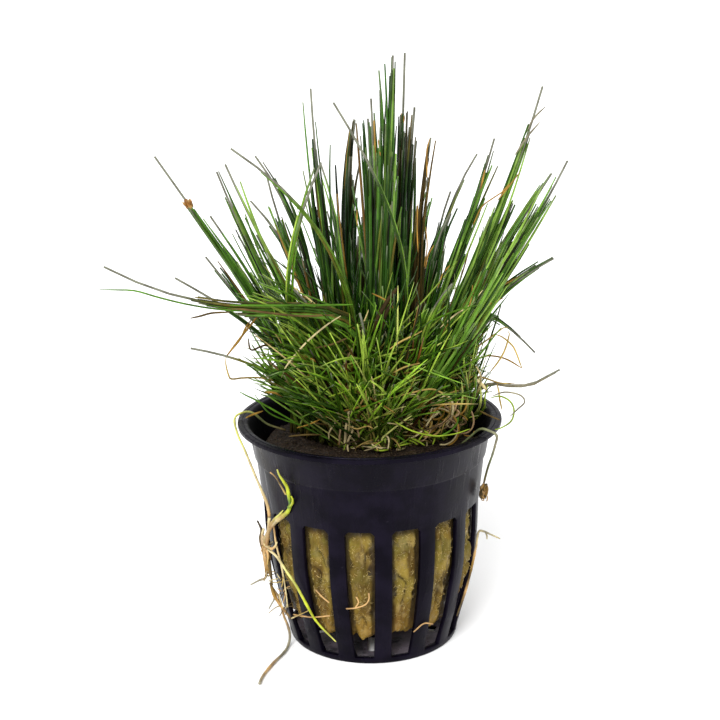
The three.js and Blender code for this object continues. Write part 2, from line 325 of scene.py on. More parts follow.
plastic.bump(plastic.noise(0.5, 3) + 1.6 * streaks + 0.6 * plastic.noise(3.5, 2), 0.02)
pot.data.materials.append(plastic.material)
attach(pot, "root")
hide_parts("net_pot")


# Rockwool plug
# Spun basalt fibre pressed into the pot around the roots. It is soaked, stained ochre and olive by
# algae, bulges a little into the slots, and ends raggedly some way above the pot's floor.
WOOL_PROFILE = [
    (0, 45), (21.6, 45), (22.9, 44.4), (23.5, 42.6), (22.4, 31.3), (21.9, 20.9), (20.2, 13.6), (18.6, 7.6),
    (17.2, 6), (0, 5.8),
]
WOOL_SEGMENTS = 420
WOOL_RINGS = 150
WALL_FOOT = 8
WALL_TOP = 44
RAGGED_TOP = 12
SLOT_BULGE = 1.0
SLOT_SOFT = 0.5
FOLD_DEPTH = 0.9
FOLD_WIDTH = 0.09
FUZZ_DEPTH = 0.3
FIBRE_LIE = (1, 1, 0.3)


def run_along(line):
    """How far along a line each of its points lies."""
    return np.concatenate([[0], np.cumsum(np.linalg.norm(np.diff(line, axis=0), axis=1))])


def read_off(table, places, at):
    """The rows of a table, whose places are given, read off at other places between them."""
    return np.stack([np.interp(at, places, column) for column in np.array(table, float).T], axis=-1)


def clamp(value):
    return max(0, min(1, value))


wool_run = run_along(WOOL_PROFILE)


def lumps(place, grain, octaves=3):
    """Smooth noise from -1 to 1 at a place in millimetres, its lumps about as large as grain."""
    return noise.fractal(Vector(place) / grain, 1.0, 2.0, octaves)


def crease(place):
    """How deep a fold cuts into the wool at a place in millimetres, 0 to 1. Most folds run upright."""
    fold = lumps((place[0], place[1], place[2] * 0.4), 4.5, 2)
    return clamp(1 - abs(fold) / FOLD_WIDTH) * clamp(0.6 + 3 * lumps(place, 9, 1))


def wool_surface(turn, run):
    """A point of the plug's skin, and how much painted shade it takes in a fold or beside a rib, 0 to 1.

    Its turn is the bearing, and its run the way down from the crown in millimetres.
    """
    radius, height = read_off(WOOL_PROFILE, wool_run, run)
    east, north = math.sin(turn), -math.cos(turn)
    place = np.array((radius * east, radius * north, height))
    side = 1 if radius > 20 and WALL_FOOT < height < WALL_TOP else clamp((radius - 16) / 4)
    off_middle = abs((turn - FRONT_RIB) % RIB_PITCH - RIB_PITCH / 2) * radius
    drawn_in = 0.3 + 1.3 * max(0, lumps(place, 3.2, 2))
    half_slot = max((RIB_PITCH * radius - RIB_WIDTH) / 2 - drawn_in, 0.1)
    bulge = clamp(1 - (off_middle / half_slot) ** 6) * clamp((SLOT_TOP - SLOT_SOFT - height) / 2) * side
    in_fold = crease(place) * bulge
    # Folds and the strip beside each rib are painted dark as shade, by this share.
    recess_shade = max(in_fold, (1 - bulge) * side) if height < SLOT_TOP else 0
    fuzz = lumps(place, 0.9, 4)
    radius += bulge * (SLOT_BULGE * (0.5 + 1.3 * lumps(place * FIBRE_LIE, 3)) + FUZZ_DEPTH * fuzz)
    radius += (1 - bulge) * min(0, FUZZ_DEPTH * fuzz) * side - FOLD_DEPTH * in_fold
    if height > WALL_TOP:
        height += 0.5 * lumps(place, 5) + 0.35 * fuzz - 0.25
    elif height < RAGGED_TOP:
        ragged = (RAGGED_TOP - height) / 6
        height += ragged * (1.5 * lumps((*place[:2], 0), 3.5) + 0.6 * lumps((*place[:2], 3), 1.1))
    return Vector((radius * east, radius * north, height)) * MM, recess_shade


bpy.ops.object.select_all(action="DESELECT")
bpy.ops.mesh.primitive_uv_sphere_add(segments=WOOL_SEGMENTS, ring_count=WOOL_RINGS, radius=1)
wool = bpy.context.object
wool.name = "rockwool_plug_wool"
recess_shade = wool.data.attributes.new("recess_shade", "FLOAT", "POINT")
for vertex in wool.data.vertices:
    turn = math.atan2(vertex.co.x, -vertex.co.y)
    run = math.acos(max(-1, min(1, vertex.co.z))) / math.pi * wool_run[-1]
    vertex.co, recess_shade.data[vertex.index].value = wool_surface(turn, run)
bpy.ops.object.shade_smooth()

# Soaked wool: ochre with lighter tufts, green with algae above and rusty at its foot, and glittering wet
# where it stands out. Upright bands are partly painted fold shade, the folds and the gaps beside the
# ribs are painted dark as shade, and pale specks are painted glints. Its top is covered in brown mud.
soaked_wool = Finish("soaked_rockwool", Specular_IOR_Level=0.2, Coat_Roughness=0.18)
height_mm = soaked_wool.axes()[2]
folds = soaked_wool.noise(4.2, 4, stretch=(1, 1, 2.4))
coarse = soaked_wool.noise(1.7, 4, stretch=(1, 1, 1.8))
fine = soaked_wool.noise(0.5, 5, stretch=(1, 1, 1.4), roughness=0.7)
algae = soaked_wool.noise(6, 3)
# Darker upright bands are partly the wool's own mottling and partly painted fold shade.
ochre = soaked_wool.mix(folds.ramp(0.36, 0.6), tone(84, 64, 22), tone(130, 110, 46))
ochre = soaked_wool.mix(coarse.ramp(0.52, 0.7) * 0.5, ochre, tone(156, 134, 68))
stained = soaked_wool.mix(algae.ramp(0.46, 0.64) * height_mm.ramp(12, 26) * 0.6, ochre, tone(98, 92, 34))
stained = soaked_wool.mix((1 - height_mm.ramp(7, 17)) * 0.45, stained, tone(148, 110, 46))
dark = soaked_wool.mix(fine.ramp(0.24, 0.4), tone(72, 54, 20), stained)
# Pale specks are painted glints, standing in for wet highlights.
painted_glints = soaked_wool.mix(fine.ramp(0.62, 0.68) * 0.8, dark, tone(206, 190, 130))
# Painted shade: folds and the gaps beside the ribs are painted dark.
shade_in_recesses = soaked_wool.node("Attribute", {"attribute_name": "recess_shade"}, {}, "Fac")
with_recess_shade = soaked_wool.mix(shade_in_recesses.ramp(0.1, 1) * 0.85, painted_glints, tone(40, 30, 12))
mud = soaked_wool.mix(fine.ramp(0.38, 0.66), tone(20, 16, 13), tone(58, 46, 36))
mud = soaked_wool.mix(folds.ramp(0.55, 0.8) * 0.4, mud, tone(70, 58, 36))
top_mask = (height_mm + 1.6 * coarse).ramp(43.6, 45.2)
soaked_wool.set("Base Color", soaked_wool.mix(top_mask, with_recess_shade, mud))
soaked_wool.set("Roughness", 0.6 - 0.3 * coarse.ramp(0.5, 0.7))
soaked_wool.set("Coat Weight", 0.35 * coarse.ramp(0.45, 0.65) * (1 - top_mask))
soaked_wool.bump(fine + 0.5 * soaked_wool.noise(0.2, 3), 0.3)
wool.data.materials.append(soaked_wool.material)
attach(wool, "root")
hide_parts("rockwool_plug")


def unit(vectors):
    return vectors / np.maximum(np.linalg.norm(vectors, axis=-1, keepdims=True), 1e-12)


def carried_sides(lines):
    """For each point of each line, two directions across it that don't twist along the line."""
    along = unit(np.gradient(lines, axis=1))
    side = np.empty_like(lines)
    start = np.eye(3)[np.argmin(np.abs(along[:, 0]), axis=-1)]
    side[:, 0] = unit(np.cross(along[:, 0], start))
    for step in range(1, lines.shape[1]):
        carried = side[:, step - 1]
        lean = (carried * along[:, step]).sum(axis=-1, keepdims=True)
        side[:, step] = unit(carried - lean * along[:, step])
    return side, np.cross(along, side)


class Strands:
    """Thin strands of one piece, gathered into one mesh: closed tubes, each with its own tints."""

    def __init__(self):
        self.points = []
        self.tints = []
        self.faces = []
        self.count = 0

    def add(self, lines, radii, tints, sides):
        """Adds tubes along lines (strand, point, xyz) in millimetres, with a radius and a tint per point."""
        lines = np.asarray(lines, float)
        strands, steps, _ = lines.shape
        radii = np.broadcast_to(radii, (strands, steps))[:, :, None, None]
        tints = np.broadcast_to(tints, (strands, steps, 3))
        side, up = carried_sides(lines)
        turns = np.arange(sides) / sides * math.tau
        cosines, sines = np.cos(turns)[:, None], np.sin(turns)[:, None]
        rings = lines[:, :, None] + radii * (side[:, :, None] * cosines + up[:, :, None] * sines)
        self.points.append(rings.reshape(-1, 3))
        self.tints.append(np.repeat(tints.reshape(-1, 3), sides, axis=0))
        here = np.arange(sides)
        beside = (here + 1) % sides
        for strand in range(strands):
            foot = self.count + strand * steps * sides
            self.faces.append([*(foot + here[::-1])])
            for step in range(steps - 1):
                low = foot + step * sides
                high = low + sides
                self.faces += np.stack([low + here, low + beside, high + beside, high + here], 1).tolist()
            self.faces.append([*(foot + (steps - 1) * sides + here)])
        self.count += strands * steps * sides

    def build(self, name, finish):
        """Makes the piece of all strands so far."""
        mesh = bpy.data.meshes.new(name)
        mesh.from_pydata((np.concatenate(self.points) * MM).tolist(), [], self.faces)
        tint = mesh.color_attributes.new("tint", "FLOAT_COLOR", "POINT")
        colours = np.concatenate([np.concatenate(self.tints), np.ones((self.count, 1))], axis=1)
        tint.data.foreach_set("color", colours.ravel())
        mesh.polygons.foreach_set("use_smooth", [True] * len(mesh.polygons))
        mesh.materials.append(finish.material)
        piece = bpy.data.objects.new(name, mesh)
        bpy.context.scene.collection.objects.link(piece)
        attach(piece, "root")
        return piece


def tint_of(*colour):
    return np.array(tone(*colour)[:3])


def strand_finish(name, **constants):
    """A finish that takes its colour from the strands' own tints, with darker flecks along them."""
    finish = Finish(name, **constants)
    tint = finish.node("VertexColor", {"layer_name": "tint"}, {}, "Color")
    flecks = finish.noise(2.2, 3, stretch=(1, 1, 2))
    dulled = finish.node("VectorMath", {"operation": "MULTIPLY"}, {0: tint, 1: (0.62, 0.6, 0.6)})
    finish.set("Base Color", finish.mix(flecks.ramp(0.36, 0.6), dulled, tint))
    finish.bump(finish.noise(0.35, 2, stretch=(1, 1, 3)), 0.05)
    return finish


# Loose fibres stand off the wool where it shows: in the slots, and over its top.
wool_fibre = strand_finish("rockwool_fibre", Roughness=0.45)
FIBRES_PER_SLOT = 120
FIBRES_ON_TOP = 1500
FIBRE_RADIUS = 0.045
FIBRE_LENGTHS = (0.3, 1.3)
FIBRE_POINTS = 5
FIBRE_LIFTS = (0.05, 0.35)
FIBRE_SUNK = 0.05
BARE_FIBRE = tint_of(160, 138, 80)
MUDDY_FIBRE = tint_of(74, 60, 44)
TOP_RADIUS = 22
SLOT_RUN = (36, 60)
SLOT_TURN = (0.26, 0.74)
fibre_dice = np.random.default_rng(5)


def wool_fibre_line(turn, run):
    """A short fibre that leaves the skin of the wool, runs along it and comes back to it."""
    skin = np.array(wool_surface(turn, run)[0]) / MM
    outward = np.array([math.sin(turn), -math.cos(turn), 0]) if run > TOP_RADIUS else np.array([0, 0, 1])
    heading = unit(np.cross(outward, unit(fibre_dice.normal(size=3))))
    length = fibre_dice.uniform(*FIBRE_LENGTHS)
    share = np.linspace(0, 1, FIBRE_POINTS)
    lift = fibre_dice.uniform(*FIBRE_LIFTS) * np.sin(share * math.pi) - FIBRE_SUNK
    curl = np.cross(outward, heading) * fibre_dice.normal(0, 0.3)
    run_out = (share - 0.5) * length
    lie = np.outer(run_out, heading) + np.outer(run_out ** 2 / length, curl)
    return skin + lie + np.outer(lift, outward)


fibre_lines = []
fibre_tints = []
for slot in range(RIBS):
    for _ in range(FIBRES_PER_SLOT):
        turn = FRONT_RIB + RIB_PITCH * (slot + fibre_dice.uniform(*SLOT_TURN))
        fibre_lines.append(wool_fibre_line(turn, fibre_dice.uniform(*SLOT_RUN)))
        fibre_tints.append(BARE_FIBRE * fibre_dice.uniform(0.6, 1.7))
for _ in range(FIBRES_ON_TOP):
    turn = fibre_dice.uniform(0, math.tau)
    fibre_lines.append(wool_fibre_line(turn, TOP_RADIUS * math.sqrt(fibre_dice.uniform(0, 1))))
    fibre_tints.append(MUDDY_FIBRE * fibre_dice.uniform(0.3, 1.3))
fibres = Strands()
fibres.add(np.array(fibre_lines), FIBRE_RADIUS, np.array(fibre_tints)[:, None], 3)
fibres.build("rockwool_fibres", wool_fibre)


# Grass tufts
# Dwarf hairgrass grows as bunches of round, threadlike leaves from crowns on a creeping runner. Out of
# water its wet leaves cling together as spears, over a low tangle of shorter leaves.
PLUG_TOP = 45
CROWN = PLUG_TOP + 0.3
ROOTED = PLUG_TOP - 1
LINE_POINTS = 60
SPEAR_SIDES = 5
LEAF_POINTS = 13
LEAF_SIDES = 5

# Name, crown x and y, rise, lean point, tip, how many leaves and in how many spears, and its look.
TUFTS = [
    ("tuft_left_sweep", (1, -3), 50, (-16, -15, 68), (-53, -16, 88), 46, 2, "sweep"),
    ("tuft_left_reach", (-13, 1), 18, (-21, -8, 72), (-39, -12, 84), 14, 2, "green"),
    ("tuft_left_low", (-9, -4), 8, (-16, -14, 66), (-36, -18, 71), 14, 2, "green"),
    ("tuft_seed_stalk", (-12, 4), 12, (-27, -3, 83), (-43, -4, 108), 26, 1, "stalk"),
    ("tuft_left_lean", (-15, 6), 14, (-21, 4, 75), (-33, 4, 94), 24, 2, "green"),
    ("tuft_left_short", (-15, 10), 12, (-25, 10, 70), (-35, 10, 84), 24, 2, "deep"),
    ("tuft_left_spear", (-11, 8), 16, (-22, 12, 76), (-32, 14, 102), 34, 3, "green"),
    ("tuft_left_cross", (-10, 1), 24, (-17, -8, 78), (-28, -10, 107), 14, 3, "green"),
    ("tuft_left_back", (-8, 12), 14, (-23, 18, 73), (-30, 20, 96), 34, 3, "deep"),
    ("tuft_left_arch", (-2, -1), 25, (0, -14, 92), (-26, -18, 111), 3, 1, "leaf"),
    ("tuft_left_fan", (-5, 8), 18, (-17, 16, 75), (-22, 18, 100), 50, 4, "deep"),
    ("tuft_up_left", (-5, 4), 16, (-10, 7, 87), (-11, 8, 120), 46, 3, "deep"),
    ("tuft_lean_across", (-12, -2), 20, (-24, -10, 74), (-9, -12, 107), 5, 1, "leaf"),
    ("tuft_long_lean", (5, -3), 30, (16, -10, 82), (-6, -12, 119), 3, 1, "leaf"),
    ("tuft_dark_spear", (-3, 12), 18, (-6, 18, 90), (-2, 20, 112), 74, 2, "dark"),
    ("tuft_middle_back", (1, 8), 17, (2, 11, 83), (1, 12, 113), 60, 3, "deep"),
    ("tuft_middle", (1, 2), 15, (3, 2, 88), (2, 2, 118), 50, 4, "deep"),
    ("tuft_tall", (5, 1), 20, (8, 2, 95), (6, 3, 127), 104, 2, "deep"),
    ("tuft_tall_seed", (8, 5), 14, (10, 6, 92), (9, 7, 127), 46, 2, "dark"),
    ("tuft_tall_back", (6, 11), 14, (8, 13, 87), (11, 14, 115), 74, 2, "dark"),
    ("tuft_brown", (11, 9), 17, (10, 9, 81), (14, 9, 109), 28, 2, "brown"),
    ("tuft_right_thin", (14, 12), 18, (12, 16, 79), (19, 18, 96), 30, 4, "green"),
    ("tuft_right_spear", (11, 4), 22, (18, 8, 75), (28, 14, 108), 46, 3, "green"),
    ("tuft_right_long", (13, 2), 24, (23, 0, 74), (37, 2, 120), 50, 3, "green"),
    ("tuft_right_thick", (14, -2), 22, (24, -8, 72), (41, -8, 106), 66, 4, "green"),
    ("tuft_right_fan", (16, 5), 20, (24, 7, 77), (40, 8, 101), 56, 4, "green"),
    ("tuft_right_reach", (17, 0), 18, (18, -4, 74), (39, -4, 85), 16, 2, "green"),
    ("tuft_right_droop", (19, 9), 22, (20, 8, 80), (37, 9, 61), 8, 2, "green"),
    ("tuft_right_pale", (20, 3), 12, (30, -8, 56), (40, -8, 62), 2, 1, "dry"),
]
tufts = [
    (name, [(*crown, CROWN), (*crown, PLUG_TOP + rise), lean, tip], leaves, spears, look)
    for name, crown, rise, lean, tip, leaves, spears, look in TUFTS
]


# Behind and in front of those, two fans of shorter tufts fill the clump. Golden steps vary their tips.
GOLDEN_STEP = 0.618
FAN_LEAVES = 20
FAN_SPEARS = 3


def fan(name, count, headings, centre, crown_reach, tip_reach, tip_height, look):
    """Adds tufts round a centre, at headings, tip distances and tip heights between two limits each."""
    for index in range(count):
        heading = math.radians(np.interp((index + 0.5) / count, (0, 1), headings))
        reach = np.interp(index * GOLDEN_STEP % 1, (0, 1), tip_reach)
        rise = np.interp((index * (1 - GOLDEN_STEP) + 0.5) % 1, (0, 1), tip_height)
        outs = (crown_reach, crown_reach, 0.55 * reach, reach)
        ups = (CROWN - PLUG_TOP, 0.35 * rise, 0.75 * rise, rise)
        east, north = math.cos(heading), math.sin(heading)
        middle_x, middle_y = centre
        line = [(middle_x + out * east, middle_y + out * north, PLUG_TOP + up) for out, up in zip(outs, ups)]
        tufts.append((f"{name}_{index + 1}", line, FAN_LEAVES, FAN_SPEARS, look))


fan("tuft_back", 10, (10, 170), (2, 6), 12, (18, 34), (32, 62), "deep")
fan("tuft_front", 8, (195, 345), (2, 3), 9.5, (14, 24), (16, 42), "leaf")


def evenly(line, count):
    """The same line with its points at even steps."""
    run = run_along(line)
    return read_off(line, run, np.linspace(0, run[-1], count))


def routed(points, count):
    """A smooth line through points, evenly stepped: a Catmull-Rom curve."""
    points = np.array(points, float)
    ends = np.concatenate([[2 * points[0] - points[1]], points, [2 * points[-1] - points[-2]]])
    share = np.linspace(0, len(points) - 1, 12 * len(points))
    part = np.minimum(share.astype(int), len(points) - 2)
    rest = (share - part)[:, None]
    before, here, there, beyond = (ends[part + step] for step in range(4))
    linear = there - before
    square = 2 * before - 5 * here + 4 * there - beyond
    cubic = 3 * here - before - 3 * there + beyond
    return evenly(0.5 * (2 * here + linear * rest + square * rest ** 2 + cubic * rest ** 3), count)


def bezier(points, count):
    """A line on the Bezier curve of four points, evenly stepped."""
    share = np.linspace(0, 1, 4 * count)[:, None]
    weights = [(1 - share) ** 3, 3 * (1 - share) ** 2 * share, 3 * (1 - share) * share ** 2, share ** 3]
    return evenly(sum(weight * np.array(point) for weight, point in zip(weights, points)), count)


def settled_line(name, points):
    """The line of a tuft's main spear, set where its node's foot and tip are."""
    line = bezier(points, LINE_POINTS)
    corners = np.array([vertex.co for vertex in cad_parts[name].data.vertices]) / MM
    corners = np.unique(np.round(corners, 3), axis=0)
    foot = corners[np.argsort(corners[:, 2])[:SPEAR_SIDES]].mean(axis=0)
    end = corners[np.argsort(np.linalg.norm(corners - line[-1], axis=1))[:SPEAR_SIDES]].mean(axis=0)
    share = np.linspace(0, 1, LINE_POINTS)[:, None]
    return line + (1 - share) * (foot - line[0]) + share * (end - line[-1])


# The dark look is green painted darker as shade, for tufts at the back and leaves deep inside the clump.
LEAF_COLOURS = {
    "dark": [(18, 36, 11), (27, 52, 17), (44, 72, 26), (52, 47, 24)],
    "deep": [(32, 58, 16), (49, 83, 26), (70, 106, 38), (100, 132, 56)],
    "leaf": [(46, 71, 16), (74, 109, 27), (106, 144, 44), (144, 170, 66)],
    "green": [(42, 68, 19), (62, 97, 30), (88, 124, 44), (116, 148, 62)],
    "stalk": [(58, 92, 27), (74, 113, 36), (92, 132, 48), (54, 78, 25)],
    "sweep": [(58, 88, 25), (82, 120, 40), (96, 86, 38), (72, 76, 28)],
    "lime": [(96, 134, 32), (126, 164, 48), (156, 186, 70), (188, 198, 106)],
    "brown": [(58, 48, 24), (80, 66, 34), (44, 56, 20), (34, 56, 18), (112, 92, 52)],
    "sheath": [(44, 28, 12), (70, 44, 20), (34, 26, 10), (92, 60, 26)],
    "pale": [(158, 148, 80), (148, 162, 72), (196, 184, 122), (180, 184, 104)],
    "dry": [(132, 126, 104), (116, 110, 88)],
}
DEAD_COLOURS = [(132, 102, 48), (172, 148, 86), (92, 70, 34), (186, 168, 112), (148, 116, 54)]
FOOT_COLOUR = tint_of(112, 92, 54)
RUST = tint_of(98, 76, 34)
GREY_TIP = tint_of(112, 113, 98)
# Painted shade: the packed middle of each spear is a near-black core.
CORE_SHADE = tint_of(24, 27, 12)
LEAF_WIDTHS = {"dark": (0.26, 0.44), "pale": (0.2, 0.3)}


# How many leaves are dead or rusty for a stretch, how much lighter or darker one leaf is than another,
# and how light a leaf is painted at its foot, in the clump's shade, and at its tip.
DEAD_SHARE = 0.03
RUSTY_SHARE = 0.16
RUST_LENGTH = 0.09
LEAF_SHADES = (0.5, 1.4)
FOOT_LIGHT = 0.5
TIP_LIGHT = 1.12


def picked(colours, count, dice):
    """A random one of some colours for each of a number of leaves."""
    return np.array([tint_of(*colour) for colour in colours])[dice.integers(0, len(colours), count)]


def leaf_tints(look, count, dice, dead_share=DEAD_SHARE, foot_light=FOOT_LIGHT):
    """Tints along each of a number of leaves: dull and in painted shade at the foot, green above, some rusty
    for a stretch.
    """
    tints = picked(LEAF_COLOURS[look], count, dice)
    is_dead = dice.uniform(size=(count, 1)) < dead_share
    tints = np.where(is_dead, picked(DEAD_COLOURS, count, dice), tints)
    tints = tints * dice.uniform(*LEAF_SHADES, (count, 1))
    share = np.linspace(0, 1, LEAF_POINTS)[None, :, None]
    foot = np.exp(-share * 9) * dice.uniform(0.4, 1, (count, 1, 1))
    rusty = np.exp(-((share - dice.uniform(0.1, 1, (count, 1, 1))) / RUST_LENGTH) ** 2)
    rusty = rusty * np.where(dice.uniform(size=(count, 1, 1)) < RUSTY_SHARE, 0.8, 0)
    dry = np.clip((share - dice.uniform(0.9, 1.06, (count, 1, 1))) / 0.08, 0, 1)
    # Painted shade: each leaf is darker towards its foot, and so is its foot colour.
    tints = tints[:, None] * (foot_light + (TIP_LIGHT - foot_light) * share ** 0.6)
    foot_colour = FOOT_COLOUR * foot_light / FOOT_LIGHT
    for colour, amount in ((foot_colour, foot), (RUST, rusty), (GREY_TIP, 0.8 * dry)):
        tints = tints * (1 - amount) + colour * amount
    return tints


def disc(dice, count, radius):
    """Random offsets within a disc."""
    turn = dice.uniform(0, math.tau, count)
    out = radius * np.sqrt(dice.uniform(0, 1, count))
    return np.stack([out * np.cos(turn), out * np.sin(turn)], axis=1)


# How far from a tuft's line its leaves cling together, in millimetres, by its look.
CLING = {"dark": 2.2, "deep": 1.7, "brown": 1.2, "green": 1.4, "sweep": 1.1, "stalk": 0.9}
LEAST_CLING = 1.1

# Where one leaf stands out alone beyond the rest of its tuft: how far up the line those others reach.
REST_REACH = {
    "tuft_seed_stalk": 0.83, "tuft_left_sweep": 0.78, "tuft_left_low": 0.72, "tuft_left_reach": 0.82,
    "tuft_tall_seed": 0.86, "tuft_left_arch": 0.9, "tuft_right_long": 0.9, "tuft_long_lean": 0.9,
}

# How far forward the leaves are rooted: x and y along the front of the crowns.
CROWN_FRONT = [(-18, 5.4), (-12, 0), (-5.5, -6.4), (4, -6), (9, -3), (15, -0.8), (22, 1.4)]
CROWN_RADIUS = 2.2
CORE_REACH = 0.8

# The share of leaves that are long, the least reach of those, and the share of leaves that stray from
# their spear: in a tuft whose leaves all reach its tip, and in one where a leaf stands out alone.
OPEN_TUFT = (0.34, 0.82, 0.14)
CLOSE_TUFT = (0.66, 0.93, 0.04)

# The reach of a tuft's lesser spears and of its short leaves, in shares of its line. In shares too,
# how far spears and straying leaves part from the line, and how much a spear narrows to its tip.
SPEAR_REACH = (0.72, 0.95)
SHORT_REACH = (0.3, 0.84)
SPEARS_PART = 0.05
STRAYS_PART = 0.06
NARROWS = 0.68

# Each leaf waves a little to and fro, by millimetres, at a rate in radians, less in a shorter tuft.
WAVE = (0.1, 0.4)
WAVE_RATE = (2, 6)
FULL_WAVE_LENGTH = 60


def read_at(table, x):
    """The second number of a table's rows, read off between its first ones."""
    return np.interp(x, *np.array(table).T)


def crown_front(x):
    return read_at(CROWN_FRONT, x)


def leaf_ends(spear, leaves, spear_end, rest_reach, dice):
    """How far up the tuft's line each leaf reaches: one leaf of a spear up to its end, others less far."""
    count = len(spear)
    long_share, long_least, _ = OPEN_TUFT if rest_reach == 1 else CLOSE_TUFT
    is_long = dice.uniform(size=count) < long_share
    end = np.where(is_long, dice.uniform(long_least, 1, count), dice.uniform(*SHORT_REACH, count))
    end *= spear_end[spear]
    end[:len(spear_end)] = spear_end
    end[leaves:] = CORE_REACH * spear_end
    end[1:] *= rest_reach
    return end


def spear_lines(line, leaves, spears, cling_radius, rest_reach, dice):
    """The leaves that cling together along a tuft's line, in a few spears that part towards their tips.

    Below 1, rest_reach is the share of the line that every leaf but the first keeps to. The last lines,
    one to a spear, run up the middle of it, where the leaves pack so closely that they are in shade: a
    dark core of painted shade.
    """
    length = run_along(line)[-1]
    count = leaves + spears
    spear = np.concatenate([np.arange(leaves) % spears, np.arange(spears)])
    spear_end = dice.uniform(*SPEAR_REACH, spears)
    spear_way = disc(dice, spears, SPEARS_PART * length)
    spear_end[0], spear_way[0] = 1, 0
    end = leaf_ends(spear, leaves, spear_end, rest_reach, dice)
    share = np.linspace(0, 1, LEAF_POINTS)
    run = end[:, None] * share
    side, up = carried_sides(line[None])
    steps = np.linspace(0, 1, LINE_POINTS)
    crown = disc(dice, count, CROWN_RADIUS)
    cling_low = disc(dice, count, cling_radius)
    cling_high = disc(dice, count, cling_radius)
    stray_share = (OPEN_TUFT if rest_reach == 1 else CLOSE_TUFT)[2]
    stray = disc(dice, count, STRAYS_PART * length) * (dice.uniform(size=(count, 1)) < stray_share)
    stray[:spears] = 0
    for middles in (crown, cling_low, cling_high, stray):
        middles[leaves:] = 0
    late = np.clip((share - 0.4) / 0.6, 0, 1) ** 1.6
    narrowing = 1 - NARROWS * np.minimum(run / spear_end[spear][:, None], 1) ** 1.6
    phase = dice.uniform(0, math.tau, (count, 2))
    wave = dice.uniform(*WAVE, (count, 2)) * min(1, length / FULL_WAVE_LENGTH)
    rate = dice.uniform(*WAVE_RATE, (count, 2))
    offset = np.zeros((count, LEAF_POINTS, 2))
    for axis in range(2):
        sway = np.sin(rate[:, axis, None] * share + phase[:, axis, None]) - np.sin(phase[:, axis, None])
        offset[:, :, axis] = (
            np.outer(crown[:, axis], (1 - share) ** 2)
            + (cling_low[:, axis, None] * (1 - share) + cling_high[:, axis, None] * share) * narrowing
            + spear_way[spear, axis, None] * run ** 1.7
            + np.outer(stray[:, axis], late)
            + wave[:, axis, None] * sway
        )
    offset[0] *= 1 - share[:, None]
    middle, across, upward = (read_off(values, steps, run) for values in (line, side[0], up[0]))
    lines = middle + offset[:, :, :1] * across + offset[:, :, 1:] * upward
    lines[:, 0, 2] = ROOTED
    lines[:, 0, 1] = np.maximum(lines[:, 0, 1], crown_front(lines[:, 0, 0]))
    return lines


# The lower edge of the clump overhangs the wool like a skirt. Its x and height where it meets y 0, and
# its rise for each millimetre towards the front.
SKIRT = [
    (-27, 60), (-23, 57), (-19, 54), (-15, 50.6), (-10, 47), (-5, 43.8), (2, 43.6), (13, 44.8),
    (17, 46), (24, 49), (28, 52.4),
]
SKIRT_RISE = 0.29
SKIRT_SLACK = 0.4

# The pot below the leaves: distance from the axis and the height that a leaf passes it at.
RIM_CLEARANCE = [(20, ROOTED), (25, 51.4), (29, 51.4), (31, 50.5)]

# How far the clump reaches: to the back and the left, to the right by height, and to the front, where
# it stands over further the higher it is. Its outline is ragged by a few millimetres.
BACK_REACH = 32
LEFT_REACH = -28
RIGHT_REACH = [(60, 28), (75, 30), (110, 41)]
FRONT_REACH = -9.5
OVERHANG_FROM = 49
OVERHANG = 13
RAGGED = 5

# The hollow at the right, in front of the crowns: its sides, its back, and x and height of its roof.
HOLLOW_SIDES = (10, 20)
HOLLOW_BACK = -3.5
HOLLOW_ROOF = [(10, 50), (13, 55)]


def above_skirt(lines, slack=0):
    x, y, z = lines.transpose(2, 0, 1)
    return (z + SKIRT_RISE * y > read_at(SKIRT, x) - slack).all(axis=1)


def keeps_clear(lines):
    """Which leaves are rooted behind the crowns' front, and stay within the clump and above the skirt.

    At the right, in front of the crowns, they also leave a hollow open.
    """
    x, y, z = lines[:, 1:].transpose(2, 0, 1)
    above = z > read_at(RIM_CLEARANCE, np.hypot(x, y))
    off_front = y > FRONT_REACH - np.clip(z - OVERHANG_FROM, 0, OVERHANG)
    ragged = RAGGED * (np.arange(len(lines)) * GOLDEN_STEP % 1)[:, None]
    within = (x > LEFT_REACH + ragged) & (x < read_at(RIGHT_REACH, z) - ragged) & (y < BACK_REACH)
    left, right = HOLLOW_SIDES
    in_hollow = (x > left) & (x < right) & (y < HOLLOW_BACK) & (z < read_at(HOLLOW_ROOF, x))
    rooted = (lines[:, 0, 2] > ROOTED) | (lines[:, 0, 1] > crown_front(lines[:, 0, 0]))
    clear = (above & off_front & within & ~in_hollow).all(axis=1)
    return rooted & clear & above_skirt(lines[:, 4:], SKIRT_SLACK)


TRIES_PER_LEAF = 6
TWIST = 0.55
STEEPEST_FALL = math.radians(-20)


